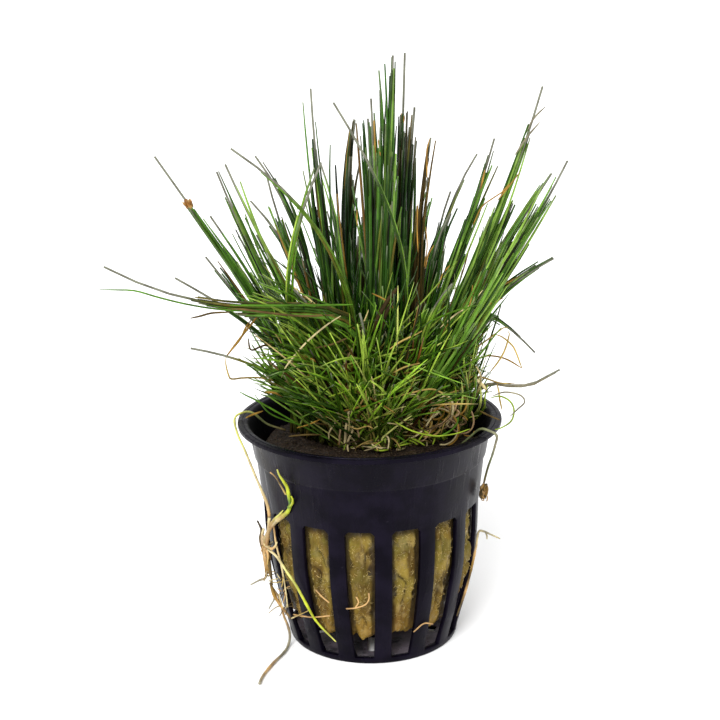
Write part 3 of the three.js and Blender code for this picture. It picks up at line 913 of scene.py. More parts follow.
def leaning_lines(middle, spread, bearings, slopes, fall, lengths, count, dice, lift=(0, 0)):
    """Single leaves that lean out of crowns round a middle: straight at first, then falling over.

    A lift, low to high, raises those that are caught in the clump with no foot in the wool.
    """
    tries = TRIES_PER_LEAF * count
    length = dice.uniform(*lengths, tries)
    bearing = np.radians(dice.uniform(*bearings, tries))
    twist = dice.normal(0, TWIST, tries)
    foot_slope = np.radians(dice.uniform(*slopes, tries))
    tip_slope = np.maximum(foot_slope - np.radians(dice.uniform(*fall, tries)), STEEPEST_FALL)
    share = (np.arange(LEAF_POINTS - 1) + 0.5) / (LEAF_POINTS - 1)
    slope = foot_slope[:, None] + (tip_slope - foot_slope)[:, None] * share
    way = bearing[:, None] + twist[:, None] * share
    moves = np.stack([np.cos(slope) * np.cos(way), np.cos(slope) * np.sin(way), np.sin(slope)], axis=2)
    moves *= (length / (LEAF_POINTS - 1))[:, None, None]
    lines = np.zeros((tries, LEAF_POINTS, 3))
    lines[:, 1:] = np.cumsum(moves, axis=1)
    lines[:, :, :2] += (np.array(middle) + disc(dice, tries, 1) * spread)[:, None]
    lines[:, :, 2] += ROOTED + dice.uniform(*lift, (tries, 1))
    return lines[keeps_clear(lines)][:count]


def leaf_radii(dice, count, thin, thick, pointed=0.3):
    """Radii along leaves that are round and even, and grow finer towards their tips."""
    share = np.linspace(0, 1, LEAF_POINTS)
    return dice.uniform(thin, thick, (count, 1)) * (1 - 0.2 * share ** 2 - pointed * share ** 9)


SEED_COLOURS = [(190, 160, 104), (150, 104, 52), (104, 68, 34)]
SEED_SWELL = [(0, 0.35), (0.3, 1), (0.7, 0.8), (1, 0.15)]
SEED_SCALES = 9


def seed_head(strands, line, place, length, width, dice):
    """A spikelet at a place on a leaf: a tapered body, pale below and brown above, in thin pointed scales."""
    foot = line[round(place * (LEAF_POINTS - 1))]
    way = unit(line[-1] - foot)
    share = np.linspace(0, 1, 9)
    tints = read_off([tint_of(*colour) for colour in SEED_COLOURS], [0, 0.4, 1], share)
    body = foot + np.outer((share - 0.5) * length, way)
    strands.add(body[None], (0.42 * width * read_at(SEED_SWELL, share))[None], tints, 9)
    for _ in range(SEED_SCALES):
        outward = unit(np.cross(way, dice.normal(size=3)))
        start = foot + way * length * dice.uniform(-0.5, 0)
        splay = np.outer(width * (0.3 + dice.uniform(0, 0.35) * share), outward)
        scale = start + np.outer(share * length * dice.uniform(0.4, 0.7), way) + splay
        radii = 0.13 * width * (0.3 + np.sin(share * math.pi))
        strands.add(scale[None], radii[None], tints[::-1] * dice.uniform(0.5, 1.2), 5)


grass = strand_finish("wet_grass", Roughness=0.32, Specular_IOR_Level=0.14)
dead_grass = strand_finish("dead_grass", Roughness=0.6, Specular_IOR_Level=0.1)
LOW_LEAVES = 9

# How far a tuft's leaves bow off its line halfway along, in x and in height. One leaf has its own route.
BOW = {"tuft_left_sweep": (0, -1.3), "tuft_tall": (-2.2, 0), "tuft_tall_seed": (-1.6, 0)}
PALE_ROUTE = [
    (20, 3, PLUG_TOP), (22, 0, 54), (25.8, -5, 58.4), (29.9, -6, 58.2), (34.1, -7, 58.6), (37.1, -8, 60.4),
    (40.2, -8, 62),
]

# Where a spikelet sits on the tallest leaf of its tuft, its length and its width.
SEED_HEADS = {
    "tuft_seed_stalk": (0.83, 2.7, 1.8), "tuft_tall_seed": (0.85, 2.8, 0.8), "tuft_left_back": (0.75, 1.3, 1),
    "tuft_brown": (0.9, 2.4, 0.6),
}

# The leaf that reaches a tuft's tip is dry from here on, or from its spikelet on.
DRY_FROM = 0.84
# A tuft's leaves are painted darker still at the foot, as shade.
TUFT_FOOT_LIGHT = 0.22
USUAL_WIDTHS = (0.24, 0.4)
LONGEST_NARROWS = 0.4
# The cores are thin tubes of painted shade up the middle of each spear.
CORE_WIDTH = 0.07
CORE_NARROWS = 0.85
CORE_SIDES = 7
LOW_LEAF_SPREAD = 70
LOW_LEAF_WIDTHS = (0.16, 0.3)
LOW_DEAD_SHARE = 0.05


def add_spears(strands, name, line, leaves, spears, look, dice):
    """Adds the leaves that cling together along a tuft's line, and the spears' cores as painted shade."""
    cling_radius = CLING.get(look, LEAST_CLING) * min(1, math.sqrt(leaves / 20))
    lines = spear_lines(line, leaves, spears, cling_radius, REST_REACH.get(name, 1), dice)
    thin, thick = LEAF_WIDTHS.get(look, USUAL_WIDTHS)
    tints = leaf_tints(look, leaves, dice, foot_light=TUFT_FOOT_LIGHT)
    dry_from = SEED_HEADS[name][0] if name in SEED_HEADS else DRY_FROM
    tints[0, round(dry_from * (LEAF_POINTS - 1)):] = GREY_TIP
    share = np.linspace(0, 1, LEAF_POINTS)
    radii = leaf_radii(dice, leaves, thin, thick)
    radii[0] = thick * (1 - LONGEST_NARROWS * share)
    strands.add(lines[:leaves], radii, tints, LEAF_SIDES)
    core_radii = CORE_WIDTH * math.sqrt(leaves) * cling_radius * (1 - CORE_NARROWS * share ** 1.4)
    strands.add(lines[leaves:], core_radii[None], CORE_SHADE, CORE_SIDES)
    return lines[0]


for index, (name, points, leaves, spears, look) in enumerate(tufts):
    dice = np.random.default_rng(100 + index)
    line = settled_line(name, points)
    line[:, ::2] += np.outer(np.sin(np.linspace(0, math.pi, LINE_POINTS)), BOW.get(name, (0, 0)))
    if name == "tuft_right_pale":
        line = routed(PALE_ROUTE, LINE_POINTS)
    strands = Strands()
    longest = add_spears(strands, name, line, leaves, spears, look, dice)
    heading = math.degrees(math.atan2(line[-1, 1] - line[0, 1], line[-1, 0] - line[0, 0]))
    bearings = (heading - LOW_LEAF_SPREAD, heading + LOW_LEAF_SPREAD)
    low = leaning_lines(
        middle=line[0, :2], spread=2.6, bearings=bearings, slopes=(30, 85), fall=(-5, 45),
        lengths=(14, 34), count=LOW_LEAVES, dice=dice)
    radii = leaf_radii(dice, len(low), *LOW_LEAF_WIDTHS)
    strands.add(low, radii, leaf_tints("leaf", len(low), dice, LOW_DEAD_SHARE), LEAF_SIDES)
    if name in SEED_HEADS:
        seed_head(strands, longest, *SEED_HEADS[name], dice)
    finish, slot = (dead_grass, "dead_grass") if look == "brown" else (grass, "grass")
    tuft = strands.build(f"{name}_leaves", finish)
    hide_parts(name)

# How light the feet of a swathe's leaves are, where they stand in the clump's own shade.
SHADED_FEET = {
    "leaves_low_left": 0.2, "leaves_dark_left": 0.12, "leaves_mid_left": 0.3, "leaves_at_back": 0.3,
}
SWATHE_POINTED = 0.6

# Between the tufts the low leaves lean out of the clump in swathes. Name, middle of the crowns, their
# spread, bearings, slopes at the foot, how far they fall over, lengths, how many, half-widths, and look.
SWATHES = [
    ("leaves_low_left", (-1, -2), (9, 4), (160, 225), (18, 56), (0, 40), (20, 42), 110,
     (0.18, 0.34), "green"),
    ("leaves_mid_left", (5, -2), (5, 3), (165, 202), (60, 80), (40, 68), (38, 58), 100, (0.2, 0.34), "leaf"),
    ("leaves_dark_left", (-12, 3), (4, 4), (152, 212), (20, 54), (5, 40), (16, 34), 110,
     (0.18, 0.34), "deep"),
    ("leaves_crossing", (-8, 0), (9, 5), (-60, 50), (30, 82), (-5, 60), (22, 42), 120, (0.14, 0.3), "leaf"),
    ("leaves_in_front", (-1, -3), (8, 3), (140, 400), (45, 80), (0, 45), (20, 42), 110, (0.18, 0.34), "leaf"),
    ("leaves_lime", (0, -3), (10, 3), (120, 420), (35, 82), (-5, 50), (18, 40), 80, (0.15, 0.3), "lime"),
    ("lime_shoots", (3, -5), (1.2, 0.8), (0, 360), (50, 88), (0, 40), (10, 26), 26, (0.18, 0.3), "lime"),
    ("fallen_leaves", (0, -1), (14, 4), (0, 360), (60, 86), (50, 110), (28, 50), 60, (0.2, 0.34), "green"),
    ("leaves_mid_right", (6, -3), (5, 2.4), (-20, 8), (48, 62), (-8, 4), (32, 54), 110,
     (0.26, 0.42), "green"),
    ("leaves_low_right", (18, 2), (5, 5), (-50, 60), (40, 85), (0, 50), (10, 26), 60, (0.14, 0.24), "leaf"),
    ("leaves_at_back", (0, 7), (13, 6), (20, 160), (40, 85), (0, 45), (14, 34), 130, (0.17, 0.32), "deep"),
    # Painted shade: the leaves deep inside take the dark look.
    ("leaves_deep_inside", (2, 3), (10, 7), (0, 360), (55, 88), (-5, 20), (20, 46), 160, (0.2, 0.36), "dark"),
    ("leaves_standing", (2, 8), (10, 5), (0, 360), (74, 90), (-4, 10), (30, 54), 100, (0.24, 0.4), "deep"),
    # Old sheaths are brown of their own, and kept dark as painted shade where they fill the clump's middle.
    ("old_sheaths", (1, -1), (10, 5), (0, 360), (45, 88), (-5, 30), (10, 30), 150, (0.24, 0.46), "sheath"),
    ("pale_hairs", (19, 3), (4, 6), (-90, 90), (55, 88), (-15, 30), (14, 34), 40, (0.11, 0.16), "pale"),
    ("green_hairs", (20, 3), (3.5, 6), (-90, 110), (60, 88), (-20, 40), (16, 36), 60, (0.11, 0.16), "leaf"),
    ("pale_stems", (20, 1), (4, 4), (-40, 80), (62, 88), (-10, 20), (8, 15), 12, (0.3, 0.46), "pale"),
    ("pale_shoots", (2, -5), (10, 1.5), (180, 360), (35, 82), (-10, 50), (8, 22), 60, (0.14, 0.26), "pale"),
]
for index, (name, middle, spread, bearings, slopes, fall, lengths, count, widths, look) in enumerate(SWATHES):
    dice = np.random.default_rng(300 + index)
    lines = leaning_lines(middle, spread, bearings, slopes, fall, lengths, count, dice)
    tints = leaf_tints(look, len(lines), dice, foot_light=SHADED_FEET.get(name, FOOT_LIGHT))
    strands = Strands()
    strands.add(lines, leaf_radii(dice, len(lines), *widths, SWATHE_POINTED), tints, LEAF_SIDES)
    strands.build(name, grass)

# Broken leaves are caught across the tangle, every way round.
CAUGHT_LEAVES = 110
CAUGHT_WIDTHS = (0.13, 0.27)
CAUGHT_DEAD_SHARE = 0.08
dice = np.random.default_rng(400)
caught = leaning_lines(
    middle=(-3, -5), spread=(16, 5), bearings=(0, 360), slopes=(-20, 55), fall=(-15, 45),
    lengths=(14, 30), count=CAUGHT_LEAVES, dice=dice, lift=(5, 24))
radii = leaf_radii(dice, len(caught), *CAUGHT_WIDTHS, SWATHE_POINTED)
strands = Strands()
strands.add(caught, radii, leaf_tints("leaf", len(caught), dice, CAUGHT_DEAD_SHARE), LEAF_SIDES)
strands.build("caught_leaves", grass)


# Loose strands
# Dead and broken leaves hang over the clump and lie at its foot. They have dried orange, tan or cream,
# and kept their kinks. Short ones litter the wool before the crowns.
ORANGE = (148, 114, 50)
STRAW = (176, 150, 84)
CREAM = (200, 184, 136)
PINK = (172, 142, 106)
BROWN = (90, 74, 42)
RUSTY = (58, 46, 26)
LIME = (140, 164, 50)
GREEN = (74, 112, 32)
GREY = (140, 134, 112)
PALE_GREEN = (160, 168, 88)

# Colour, half-width and the points of each.
LOOSE_STRANDS = [
    (GREY, 0.2, [(32.6, 1, 108.8), (35, 1.5, 113.2), (37.6, 2, 115.8)]),
    (GREY, 0.2, [(31.2, 0, 106.2), (33.7, 0, 109.9), (36.3, 0, 112.9)]),
    (GREEN, 0.2, [(-54, -16, 83.1), (-50.2, -16, 83), (-46.6, -16, 82.7), (-41.9, -16, 81.2),
                  (-35.9, -16, 79.6), (-28.9, -16, 78.4), (-19.9, -15, 77.5)]),
    (BROWN, 0.22, [(-36, -16, 76.8), (-34, -16, 77.2), (-31.5, -16, 77.8), (-27.9, -16, 77.9)]),
    (GREEN, 0.24, [(-27.8, -17, 79.6), (-21.8, -17, 79.4), (-13.7, -16, 79), (-3, -15, 78.7)]),
    (BROWN, 0.24, [(-28.2, -18, 79.1), (-24.8, -18, 78.9), (-21.4, -18, 78.3), (-13.8, -17.5, 77.2),
                   (-6.7, -17, 77.1)]),
    (RUSTY, 0.5, [(1.2, -10, 71.5), (2.1, -11, 74.8), (3.8, -11, 77.9), (6.3, -11, 81.2)]),
    (RUSTY, 0.45, [(2.7, -10, 71.9), (3.7, -11, 75.6), (5.4, -11, 78.5)]),
    (ORANGE, 0.23, [(-22.3, -7, 75.5), (-25.8, -9, 71.6), (-27.7, -10, 69.4), (-29.7, -10, 66.8)]),
    (STRAW, 0.2, [(-29.7, -10, 66.8), (-29.8, -10, 65.1), (-29.3, -10, 62.7), (-28.8, -9, 61.7),
                  (-26.5, -8, 61.6), (-22.6, -7, 61.2), (-17.9, -5, 59.2)]),
    (ORANGE, 0.2, [(-24, -11, 75), (-25.1, -12, 73.7), (-26.5, -12, 71), (-29.3, -12, 67.8)]),
    (BROWN, 0.21, [(-25.1, -8, 70.3), (-24.6, -8, 67.7), (-22.3, -7, 68.2), (-19.6, -6, 68.5)]),
    (ORANGE, 0.42, [(-22.1, -9, 58.5), (-20.1, -9, 58.7), (-17.9, -9, 57.7)]),
    (GREEN, 0.19, [(-24.1, -9, 58.1), (-21.4, -10, 54.6), (-18, -9, 52.4), (-14.9, -8, 50.9),
                   (-8.6, -8, 47.4)]),
    (ORANGE, 0.2, [(-25.8, -14, 54.7), (-24.6, -13, 55), (-22.3, -12, 55.5)]),
    (GREEN, 0.21, [(-27.5, -6, 57.9), (-25.9, -7, 57.3), (-23.6, -8, 56.4), (-14.9, -8, 50.9)]),
    (ORANGE, 0.19, [(-15.5, -9, 50.6), (-12.7, -9, 51.4), (-8.4, -10, 53.6), (-3.7, -10, 54.9),
                    (0.5, -10, 55.7), (3.3, -9, 55.9)]),
    (BROWN, 0.21, [(-17.3, -8, 48.4), (-13.6, -8.4, 48.8), (-10.2, -8, 48.6)]),
    (CREAM, 0.28, [(-4.2, -9.6, 55.4), (-4.5, -9.8, 53.4), (-5, -9.8, 51.3), (-5.3, -9, 48.1),
                   (-5.5, -7.4, 45.2)]),
    (CREAM, 0.28, [(-4, -9.6, 55.4), (-3.7, -9.8, 52.9), (-3.7, -9.6, 50.1), (-4.6, -8.8, 47.6),
                   (-5, -6.8, 45.2)]),
    (PINK, 0.24, [(-4.5, -9.6, 54.7), (-5.7, -9.8, 53.6), (-6, -9.6, 51.3), (-6.4, -8.8, 48.9),
                  (-6.6, -6.2, 45.3)]),
    (STRAW, 0.22, [(-3.6, -9.8, 54.5), (-2.2, -10, 55.6), (-1.1, -10.2, 57.3)]),
    (STRAW, 0.24, [(-4.1, -9.8, 55), (-5.2, -10.6, 58.4), (-7, -12, 63.4)]),
    (LIME, 0.24, [(-4.1, -9.8, 55), (-4, -10.8, 59), (-4.8, -12, 64.4)]),
    (PINK, 0.22, [(-4.3, -9.8, 53.8), (-3.2, -9.6, 51.4), (-2.4, -8.8, 48.8), (-2.6, -7.2, 46.4)]),
    (CREAM, 0.2, [(-4.4, -9.8, 54.2), (-7, -9.4, 52), (-8.6, -8.6, 49.4), (-8.8, -7.2, 47)]),
    (LIME, 0.22, [(-4, -9.8, 55), (-3, -10.8, 58.6), (-1.8, -12, 62.4)]),
    (STRAW, 0.18, [(-5, -9.8, 51.3), (-2.8, -10.2, 50.5), (-0.6, -10.3, 51.1), (0.6, -10.2, 50.5)]),
    (GREEN, 0.26, [(-16.1, -14, 62.7), (-13.9, -12, 58.1), (-11.3, -10, 54.9), (-9.3, -8, 52.9),
                   (-5.7, -6.5, 50.6)]),
    (GREEN, 0.24, [(-22.8, -10, 58.5), (-19.3, -9, 57.1), (-16.6, -8, 55.2), (-14.3, -6, 52.8),
                   (-12.8, -4, 50.6)]),
    (CREAM, 0.27, [(11.2, -7, 51.5), (12.2, -7, 51), (13.5, -6.8, 51.7), (14.9, -6.5, 52.8)]),
    (PINK, 0.25, [(10, -7, 48.5), (13.5, -7, 49.3), (15.9, -7, 50.5), (18.8, -6.5, 51.9), (19, -6.4, 52.7),
                  (17.6, -6, 53.4)]),
    (LIME, 0.18, [(10.2, -7, 49.8), (13.5, -7.5, 47.6), (15.9, -7.5, 47.8), (18, -7, 49.4),
                  (18.6, -6.5, 51.3)]),
    (GREEN, 0.2, [(-2.1, -8, 52.3), (0.3, -8.4, 50.6), (3.2, -8.6, 48.7)]),
    (LIME, 0.19, [(10.6, -6, 48.8), (10.5, -6, 53.1), (11.1, -6, 56.3), (11.1, -6, 58.9)]),
    (LIME, 0.19, [(16, -5, 51.6), (15.6, -5, 54.2), (16.4, -5, 59.7), (16.7, -5, 63.1)]),
    (STRAW, 0.21, [(16.8, -6, 56.6), (19.3, -6, 57.4), (21.1, -6, 58.9), (22.6, -6, 59.4)]),
    (CREAM, 0.24, [(22.6, -6, 59.3), (24.2, -6, 58), (25.4, -6, 56.6)]),
    (CREAM, 0.2, [(-5.5, -15, 76.4), (-8.2, -15, 74.7), (-11.9, -15, 71.7), (-14.5, -15, 69),
                  (-17.1, -14, 65.5), (-18.2, -12, 62.6)]),
    (BROWN, 0.21, [(-11.1, -12, 68.9), (-7.9, -12, 69.5), (-3.8, -12, 71.1)]),
    (RUSTY, 0.31, [(-11.9, -13, 68.6), (-10.5, -13, 66.2), (-8.9, -13, 63.8)]),
    (RUSTY, 0.22, [(-8.9, -13, 63.8), (-7, -12, 60.5), (-5.1, -11, 57.2), (-4.2, -9, 53.2)]),
    (ORANGE, 0.2, [(-13.2, -13, 67.6), (-11.2, -13.4, 66.6), (-9.4, -13, 64.8)]),
    (LIME, 0.19, [(-8.5, -12, 58.3), (-4.7, -12, 59.5), (-1.9, -12, 60.5), (1.2, -12, 62),
                  (3.9, -12, 63.4)]),
    (ORANGE, 0.18, [(0.9, -10, 79.8), (3.6, -10, 78.3), (6.2, -10, 75.7)]),
    (CREAM, 0.19, [(24.1, -6, 79), (21.4, -7, 76.1), (18.2, -8, 74.3), (15, -8, 71.6)]),
    (ORANGE, 0.18, [(28.1, -4, 77.2), (24.7, -4, 75.3), (23.3, -4, 74.5), (19.8, -5, 71.3)]),
    (STRAW, 0.2, [(4.2, -12, 68.2), (6.5, -12, 69.8), (9, -12, 71), (11.1, -12, 72.1)]),
    (STRAW, 0.2, [(5, -12, 63.2), (7.5, -12, 64.4), (10.6, -12, 65.2)]),
    (STRAW, 0.2, [(29.6, -4, 69.5), (29.9, -4, 68.7), (29, -4, 65.4), (27.6, -4, 62.8), (26, -3, 60.3)]),
    (STRAW, 0.19, [(29.8, -2, 69.7), (28.8, -2, 69.7), (27.1, -2, 68.4), (24.5, -2, 66.5),
                   (21.8, -1, 64.3)]),
    (STRAW, 0.19, [(27.1, -2, 68.4), (28.8, -2, 67.6), (30.7, -2, 65.9), (31.6, -2, 64.3),
                   (32.9, -2, 60.7)]),
    (ORANGE, 0.19, [(32.9, -2, 60.7), (29.5, -2, 62.8), (26.2, -2, 63.6), (23.4, -2, 63.2)]),
    (STRAW, 0.19, [(31, -6, 58.6), (27.8, -6, 58.7), (23.7, -5, 59.8), (19.4, -5, 59.7), (15.1, -5, 60)]),
    (STRAW, 0.2, [(4.3, -11, 57.4), (8.5, -11, 58.4), (12.7, -11, 59.2), (15.2, -11, 58.3),
                  (16.7, -11, 56.7), (16.9, -10, 53.8), (15.9, -9, 51.2), (15, -8, 48)]),
    (LIME, 0.19, [(25.5, -8, 56), (27.5, -9, 56.7), (29.5, -10, 55.9), (30.3, -11, 54.2),
                  (29.6, -12, 52.1), (27.2, -13, 50.9), (26.1, -13, 50.7)]),
    (GREEN, 0.2, [(14.7, -12, 49.1), (16.8, -12, 50.2), (18.2, -12, 51.7), (18.5, -12, 53.3)]),
    (RUSTY, 0.18, [(3.2, -12, 55.1), (7.3, -13, 52.7), (10.4, -13, 50.9), (14.7, -12, 51.6),
                   (17.3, -11, 53.4)]),
    (LIME, 0.18, [(2, -9, 54), (6.3, -12, 51.8), (9.4, -13, 50.5), (13.6, -13, 49.5), (17.8, -13, 49.9),
                  (21, -12, 50.6)]),
    (STRAW, 0.21, [(27.1, -7, 58.8), (27.4, -8, 57.3), (27.5, -9, 55.9), (28, -9, 53.6)]),
    (ORANGE, 0.18, [(23.1, -6, 77.1), (28.8, -5, 80), (34.1, -4, 82.4), (38.8, -4, 84.7)]),
    (GREY, 0.19, [(29.4, -12, 53.2), (30.9, -13, 55.1), (32.3, -13, 56.6), (31.4, -12, 57.8),
                  (28.4, -11, 58.2), (25.8, -10, 57.1)]),
    (BROWN, 0.2, [(23.3, -9, 53.5), (25.3, -11, 53), (27.3, -12, 52.4)]),
    (PALE_GREEN, 0.3, [(20.3, 4.5, 45), (20.6, 0, 48.6), (20.9, -5, 52.5), (20.9, -7, 57.6),
                       (20.5, -8, 61.9)]),
    (PALE_GREEN, 0.28, [(20.8, 6.5, 45), (21.4, 1, 48.8), (22, -4, 52.9), (22.5, -7, 57.5),
                        (22.4, -8, 61.3)]),
    (PALE_GREEN, 0.28, [(19.6, 7.5, 45), (22, 3, 47.9), (23.5, -4, 52.4), (23.7, -7, 56.4),
                        (23.2, -8, 60.4)]),
    (LIME, 0.22, [(20, 5.5, 45), (23.4, 1, 48.6), (24.7, -4, 52.9), (24.6, -6, 55.4), (25.1, -7, 58.6)]),
    (PALE_GREEN, 0.26, [(19.4, 3.8, 45), (19.6, -1, 48.8), (19.4, -5, 52.1), (19.8, -7, 56.3),
                        (19.5, -8, 60)]),
    (LIME, 0.24, [(18.6, 3.6, 45), (18.2, -3, 50.5), (18.5, -6, 54.9), (18.1, -8, 59.5)]),
    (CREAM, 0.36, [(22.2, -8, 60.5), (23.5, -8, 59.4), (24.8, -8, 57.8)]),
    (PINK, 0.28, [(14.8, -7, 49.3), (16.3, -7, 51.1), (18, -7, 53.2), (18.7, -7, 55)]),
    (CREAM, 0.26, [(14.5, -8, 55.8), (16.4, -8, 56.7), (17.6, -8, 54.9), (17.4, -8, 52.2), (16.1, -8, 50)]),
    (CREAM, 0.36, [(7.3, -9.4, 56), (8.6, -9.4, 57.3), (10, -9.4, 57.2), (10.9, -9.4, 55.9)]),
]
LOOSE_POINTS = 26
LOOSE_SIDES = 6
loose_dice = np.random.default_rng(17)
strands = Strands()


def loose_strand(colour, half_width, points):
    """A dead leaf on its own, finer at both ends and mottled along its length."""
    share = np.linspace(0, 1, LOOSE_POINTS)
    mottled = np.interp(share, np.linspace(0, 1, 6), loose_dice.uniform(0.6, 1.25, 6))
    radii = half_width * (1 - 0.6 * (2 * share - 1) ** 4)
    tints = mottled[:, None] * tint_of(*colour)
    strands.add(routed(points, LOOSE_POINTS)[None], radii[None], tints, LOOSE_SIDES)


for colour, half_width, points in LOOSE_STRANDS:
    loose_strand(colour, half_width, points)

# Litter lies in short curls along the front of the crowns, thickest at the right.
LITTER_LINE = [(-16, 5), (-12, 1), (-6, -4.5), (0, -5.5), (4, -6), (9, -5), (15, -3), (21, 0)]
LITTER_COLOURS = [ORANGE, STRAW, CREAM, BROWN, RUSTY, LIME, LIME, GREEN]
LITTER = 420
LITTER_LENGTHS = (3, 10)
LITTER_WIDTHS = (0.13, 0.26)
LITTER_SLACK = 1.6
share = loose_dice.uniform(0, 1, LITTER) ** 0.7
foot = read_off(LITTER_LINE, np.linspace(0, 1, len(LITTER_LINE)), share)
foot += loose_dice.normal(0, 1, (LITTER, 2))
steps = np.linspace(0, 1, LEAF_POINTS)
turn = loose_dice.uniform(0, math.tau, LITTER)[:, None] + np.outer(loose_dice.normal(0, 2.2, LITTER), steps)
climb = np.radians(loose_dice.uniform(0, 75, LITTER))[:, None] * (1 - 1.6 * steps)
stride = (loose_dice.uniform(*LITTER_LENGTHS, LITTER) / LEAF_POINTS)[:, None]
moves = np.stack([np.cos(turn) * np.cos(climb), np.sin(turn) * np.cos(climb), np.sin(climb)], axis=2)
curls = np.cumsum(moves * stride[:, :, None], axis=1)
curls[:, :, :2] += foot[:, None]
curls[:, :, 2] = np.maximum(curls[:, :, 2] + PLUG_TOP - 0.2, PLUG_TOP - 0.1)
curls = curls[above_skirt(curls, LITTER_SLACK)]
tints = picked(LITTER_COLOURS, len(curls), loose_dice) * loose_dice.uniform(0.4, 1, (len(curls), 1))
strands.add(curls, leaf_radii(loose_dice, len(curls), *LITTER_WIDTHS), tints[:, None], LEAF_SIDES)

# In the hollow at the right old roots stand up in loops. Each is an arc, in radians, round a middle
# between two corners, and its size widens or narrows along it.
ROOT_LOOPS = 40
LOOPS_FROM = (8, -7, 48)
LOOPS_TO = (20, -3, 54)
LOOP_ARCS = (2.5, 5.5)
LOOP_SIZES = (1.4, 4.2)
LOOP_WIDENING = (0.5, 1.4)
LOOP_WIDTHS = (0.12, 0.24)
for _ in range(ROOT_LOOPS):
    middle = loose_dice.uniform(LOOPS_FROM, LOOPS_TO)
    across = unit(loose_dice.normal(size=3) * (1, 0.5, 1))
    upward = unit(np.cross(across, loose_dice.normal(size=3)))
    arc = loose_dice.uniform(0, math.tau) + np.linspace(0, loose_dice.uniform(*LOOP_ARCS), LOOSE_POINTS)
    size = loose_dice.uniform(*LOOP_SIZES)
    size = size * np.linspace(1, loose_dice.uniform(*LOOP_WIDENING), LOOSE_POINTS)
    loop = middle + (np.cos(arc) * size)[:, None] * across + (np.sin(arc) * size)[:, None] * upward
    loop[:, 2] = np.maximum(loop[:, 2], PLUG_TOP + 0.2)
    colour = (STRAW, CREAM, PINK, ORANGE)[loose_dice.integers(4)]
    half_width = loose_dice.uniform(*LOOP_WIDTHS)
    strands.add(loop[None], half_width, tint_of(*colour) * loose_dice.uniform(0.7, 1.3), LOOSE_SIDES)

# Dry golden ones are caught between the tall spears.
GOLD = (156, 118, 54)
GOLDEN_STRANDS = [
    (0.15, [(22.3, -3, 92.3), (24.1, -3, 96), (26.4, -3, 97.8), (28.4, -2, 98.9), (30, -2, 100.7)]),
    (0.18, [(24.9, -1, 103.4), (24.5, -1, 101.6), (24, -1, 99.4)]),
    (0.17, [(13.9, 7, 109), (13.3, 7, 106.7), (13.2, 6, 104.3), (13.2, 5, 101)]),
    (0.15, [(11, -1, 97.4), (10.7, -2, 91.9), (10.8, -3, 86.6)]),
    (0.15, [(12.5, -2, 91.9), (12.7, -3, 87.8), (12, -4, 83.8)]),
    (0.13, [(14, -5, 88.6), (12.8, -5, 86.4), (12.2, -5, 83.6)]),
    (0.17, [(17.2, -7, 84.7), (15.8, -7, 82.9), (14.6, -8, 80.1)]),
    (0.16, [(21.8, -8, 80.6), (21.5, -9, 78.1), (20.7, -10, 75.7)]),
    (0.16, [(28.3, -6, 77.2), (25, -8, 76.2), (21.9, -10, 73.8)]),
    (0.15, [(2.9, 1, 110), (3.1, 1, 108.3), (3.3, 0, 106.6)]),
    (0.14, [(-1.8, 0, 95.5), (-1.8, -1, 92.3)]),
    (0.14, [(31.7, -5, 103.4), (29.4, -5, 100.4), (27.1, -5, 97.6)]),
]
for half_width, points in GOLDEN_STRANDS:
    loose_strand(GOLD, half_width, points)
strands.build("loose_dead_strands", dead_grass)


# Stray plantlet and roots
# At the front left a runner has climbed over the lip and rooted outside: a cream stem down the wall, a
# small plantlet with a mat of roots at the slots, one leaf across them, and a root that trails away.
STEM_SIDES = 8
RINGS_PER_POINT = 8
KNOBBLE = 0.2


def drawn_out(rings):
    """An upright stem, 1 unit in radius and as many units high as it has rings."""
    bpy.ops.object.select_all(action="DESELECT")
    bpy.ops.mesh.primitive_circle_add(vertices=STEM_SIDES, radius=1, fill_type="NGON")
    bpy.ops.object.mode_set(mode="EDIT")
    for _ in range(rings):
        bpy.ops.mesh.extrude_region_move(TRANSFORM_OT_translate={"value": (0, 0, 1)})
    bpy.ops.mesh.select_all(action="SELECT")
    bpy.ops.mesh.normals_make_consistent(inside=False)
    bpy.ops.object.mode_set(mode="OBJECT")
    bpy.ops.object.shade_smooth()
    return bpy.context.object


def stems(name, finish, node, routes):
    """The stems that stand for a node, each drawn out ring by ring, then carried along its route.

    A route is its half-widths from foot to tip, its colours from foot to tip, and its points.
    """
    drawn = []
    for half_widths, colours, points in routes:
        rings = RINGS_PER_POINT * len(points)
        stem = drawn_out(rings)
        line = routed(points, rings + 1)
        side, up = carried_sides(line[None])
        share = np.linspace(0, 1, rings + 1)
        knobs = np.array([1 + KNOBBLE * noise.noise(Vector(spot) * 1.1) for spot in line])
        radii = np.interp(share, np.linspace(0, 1, len(half_widths)), half_widths) * knobs
        tints = read_off([tint_of(*colour) for colour in colours], np.linspace(0, 1, len(colours)), share)
        tint = stem.data.color_attributes.new("tint", "FLOAT_COLOR", "POINT")
        for vertex in stem.data.vertices:
            ring = round(vertex.co.z)
            turn = math.atan2(vertex.co.y, vertex.co.x)
            across = math.cos(turn) * side[0, ring] + math.sin(turn) * up[0, ring]
            vertex.co = Vector(line[ring] + radii[ring] * across) * MM
            tint.data[vertex.index].color = (*tints[ring], 1)
        stem.data.materials.append(finish.material)
        drawn.append(stem)
    for stem in drawn:
        stem.select_set(True)
    bpy.ops.object.join()
    piece = bpy.context.object
    piece.name = name
    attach(piece, "root")
    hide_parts(node)


LEMON = (192, 192, 98)
BRIGHT = (176, 186, 46)
TAN = (186, 148, 96)
DULL_GREEN = (104, 112, 74)
living = strand_finish("pale_stem", Roughness=0.4, Specular_IOR_Level=0.3)
rooty = strand_finish("matted_root", Roughness=0.55, Specular_IOR_Level=0.3)

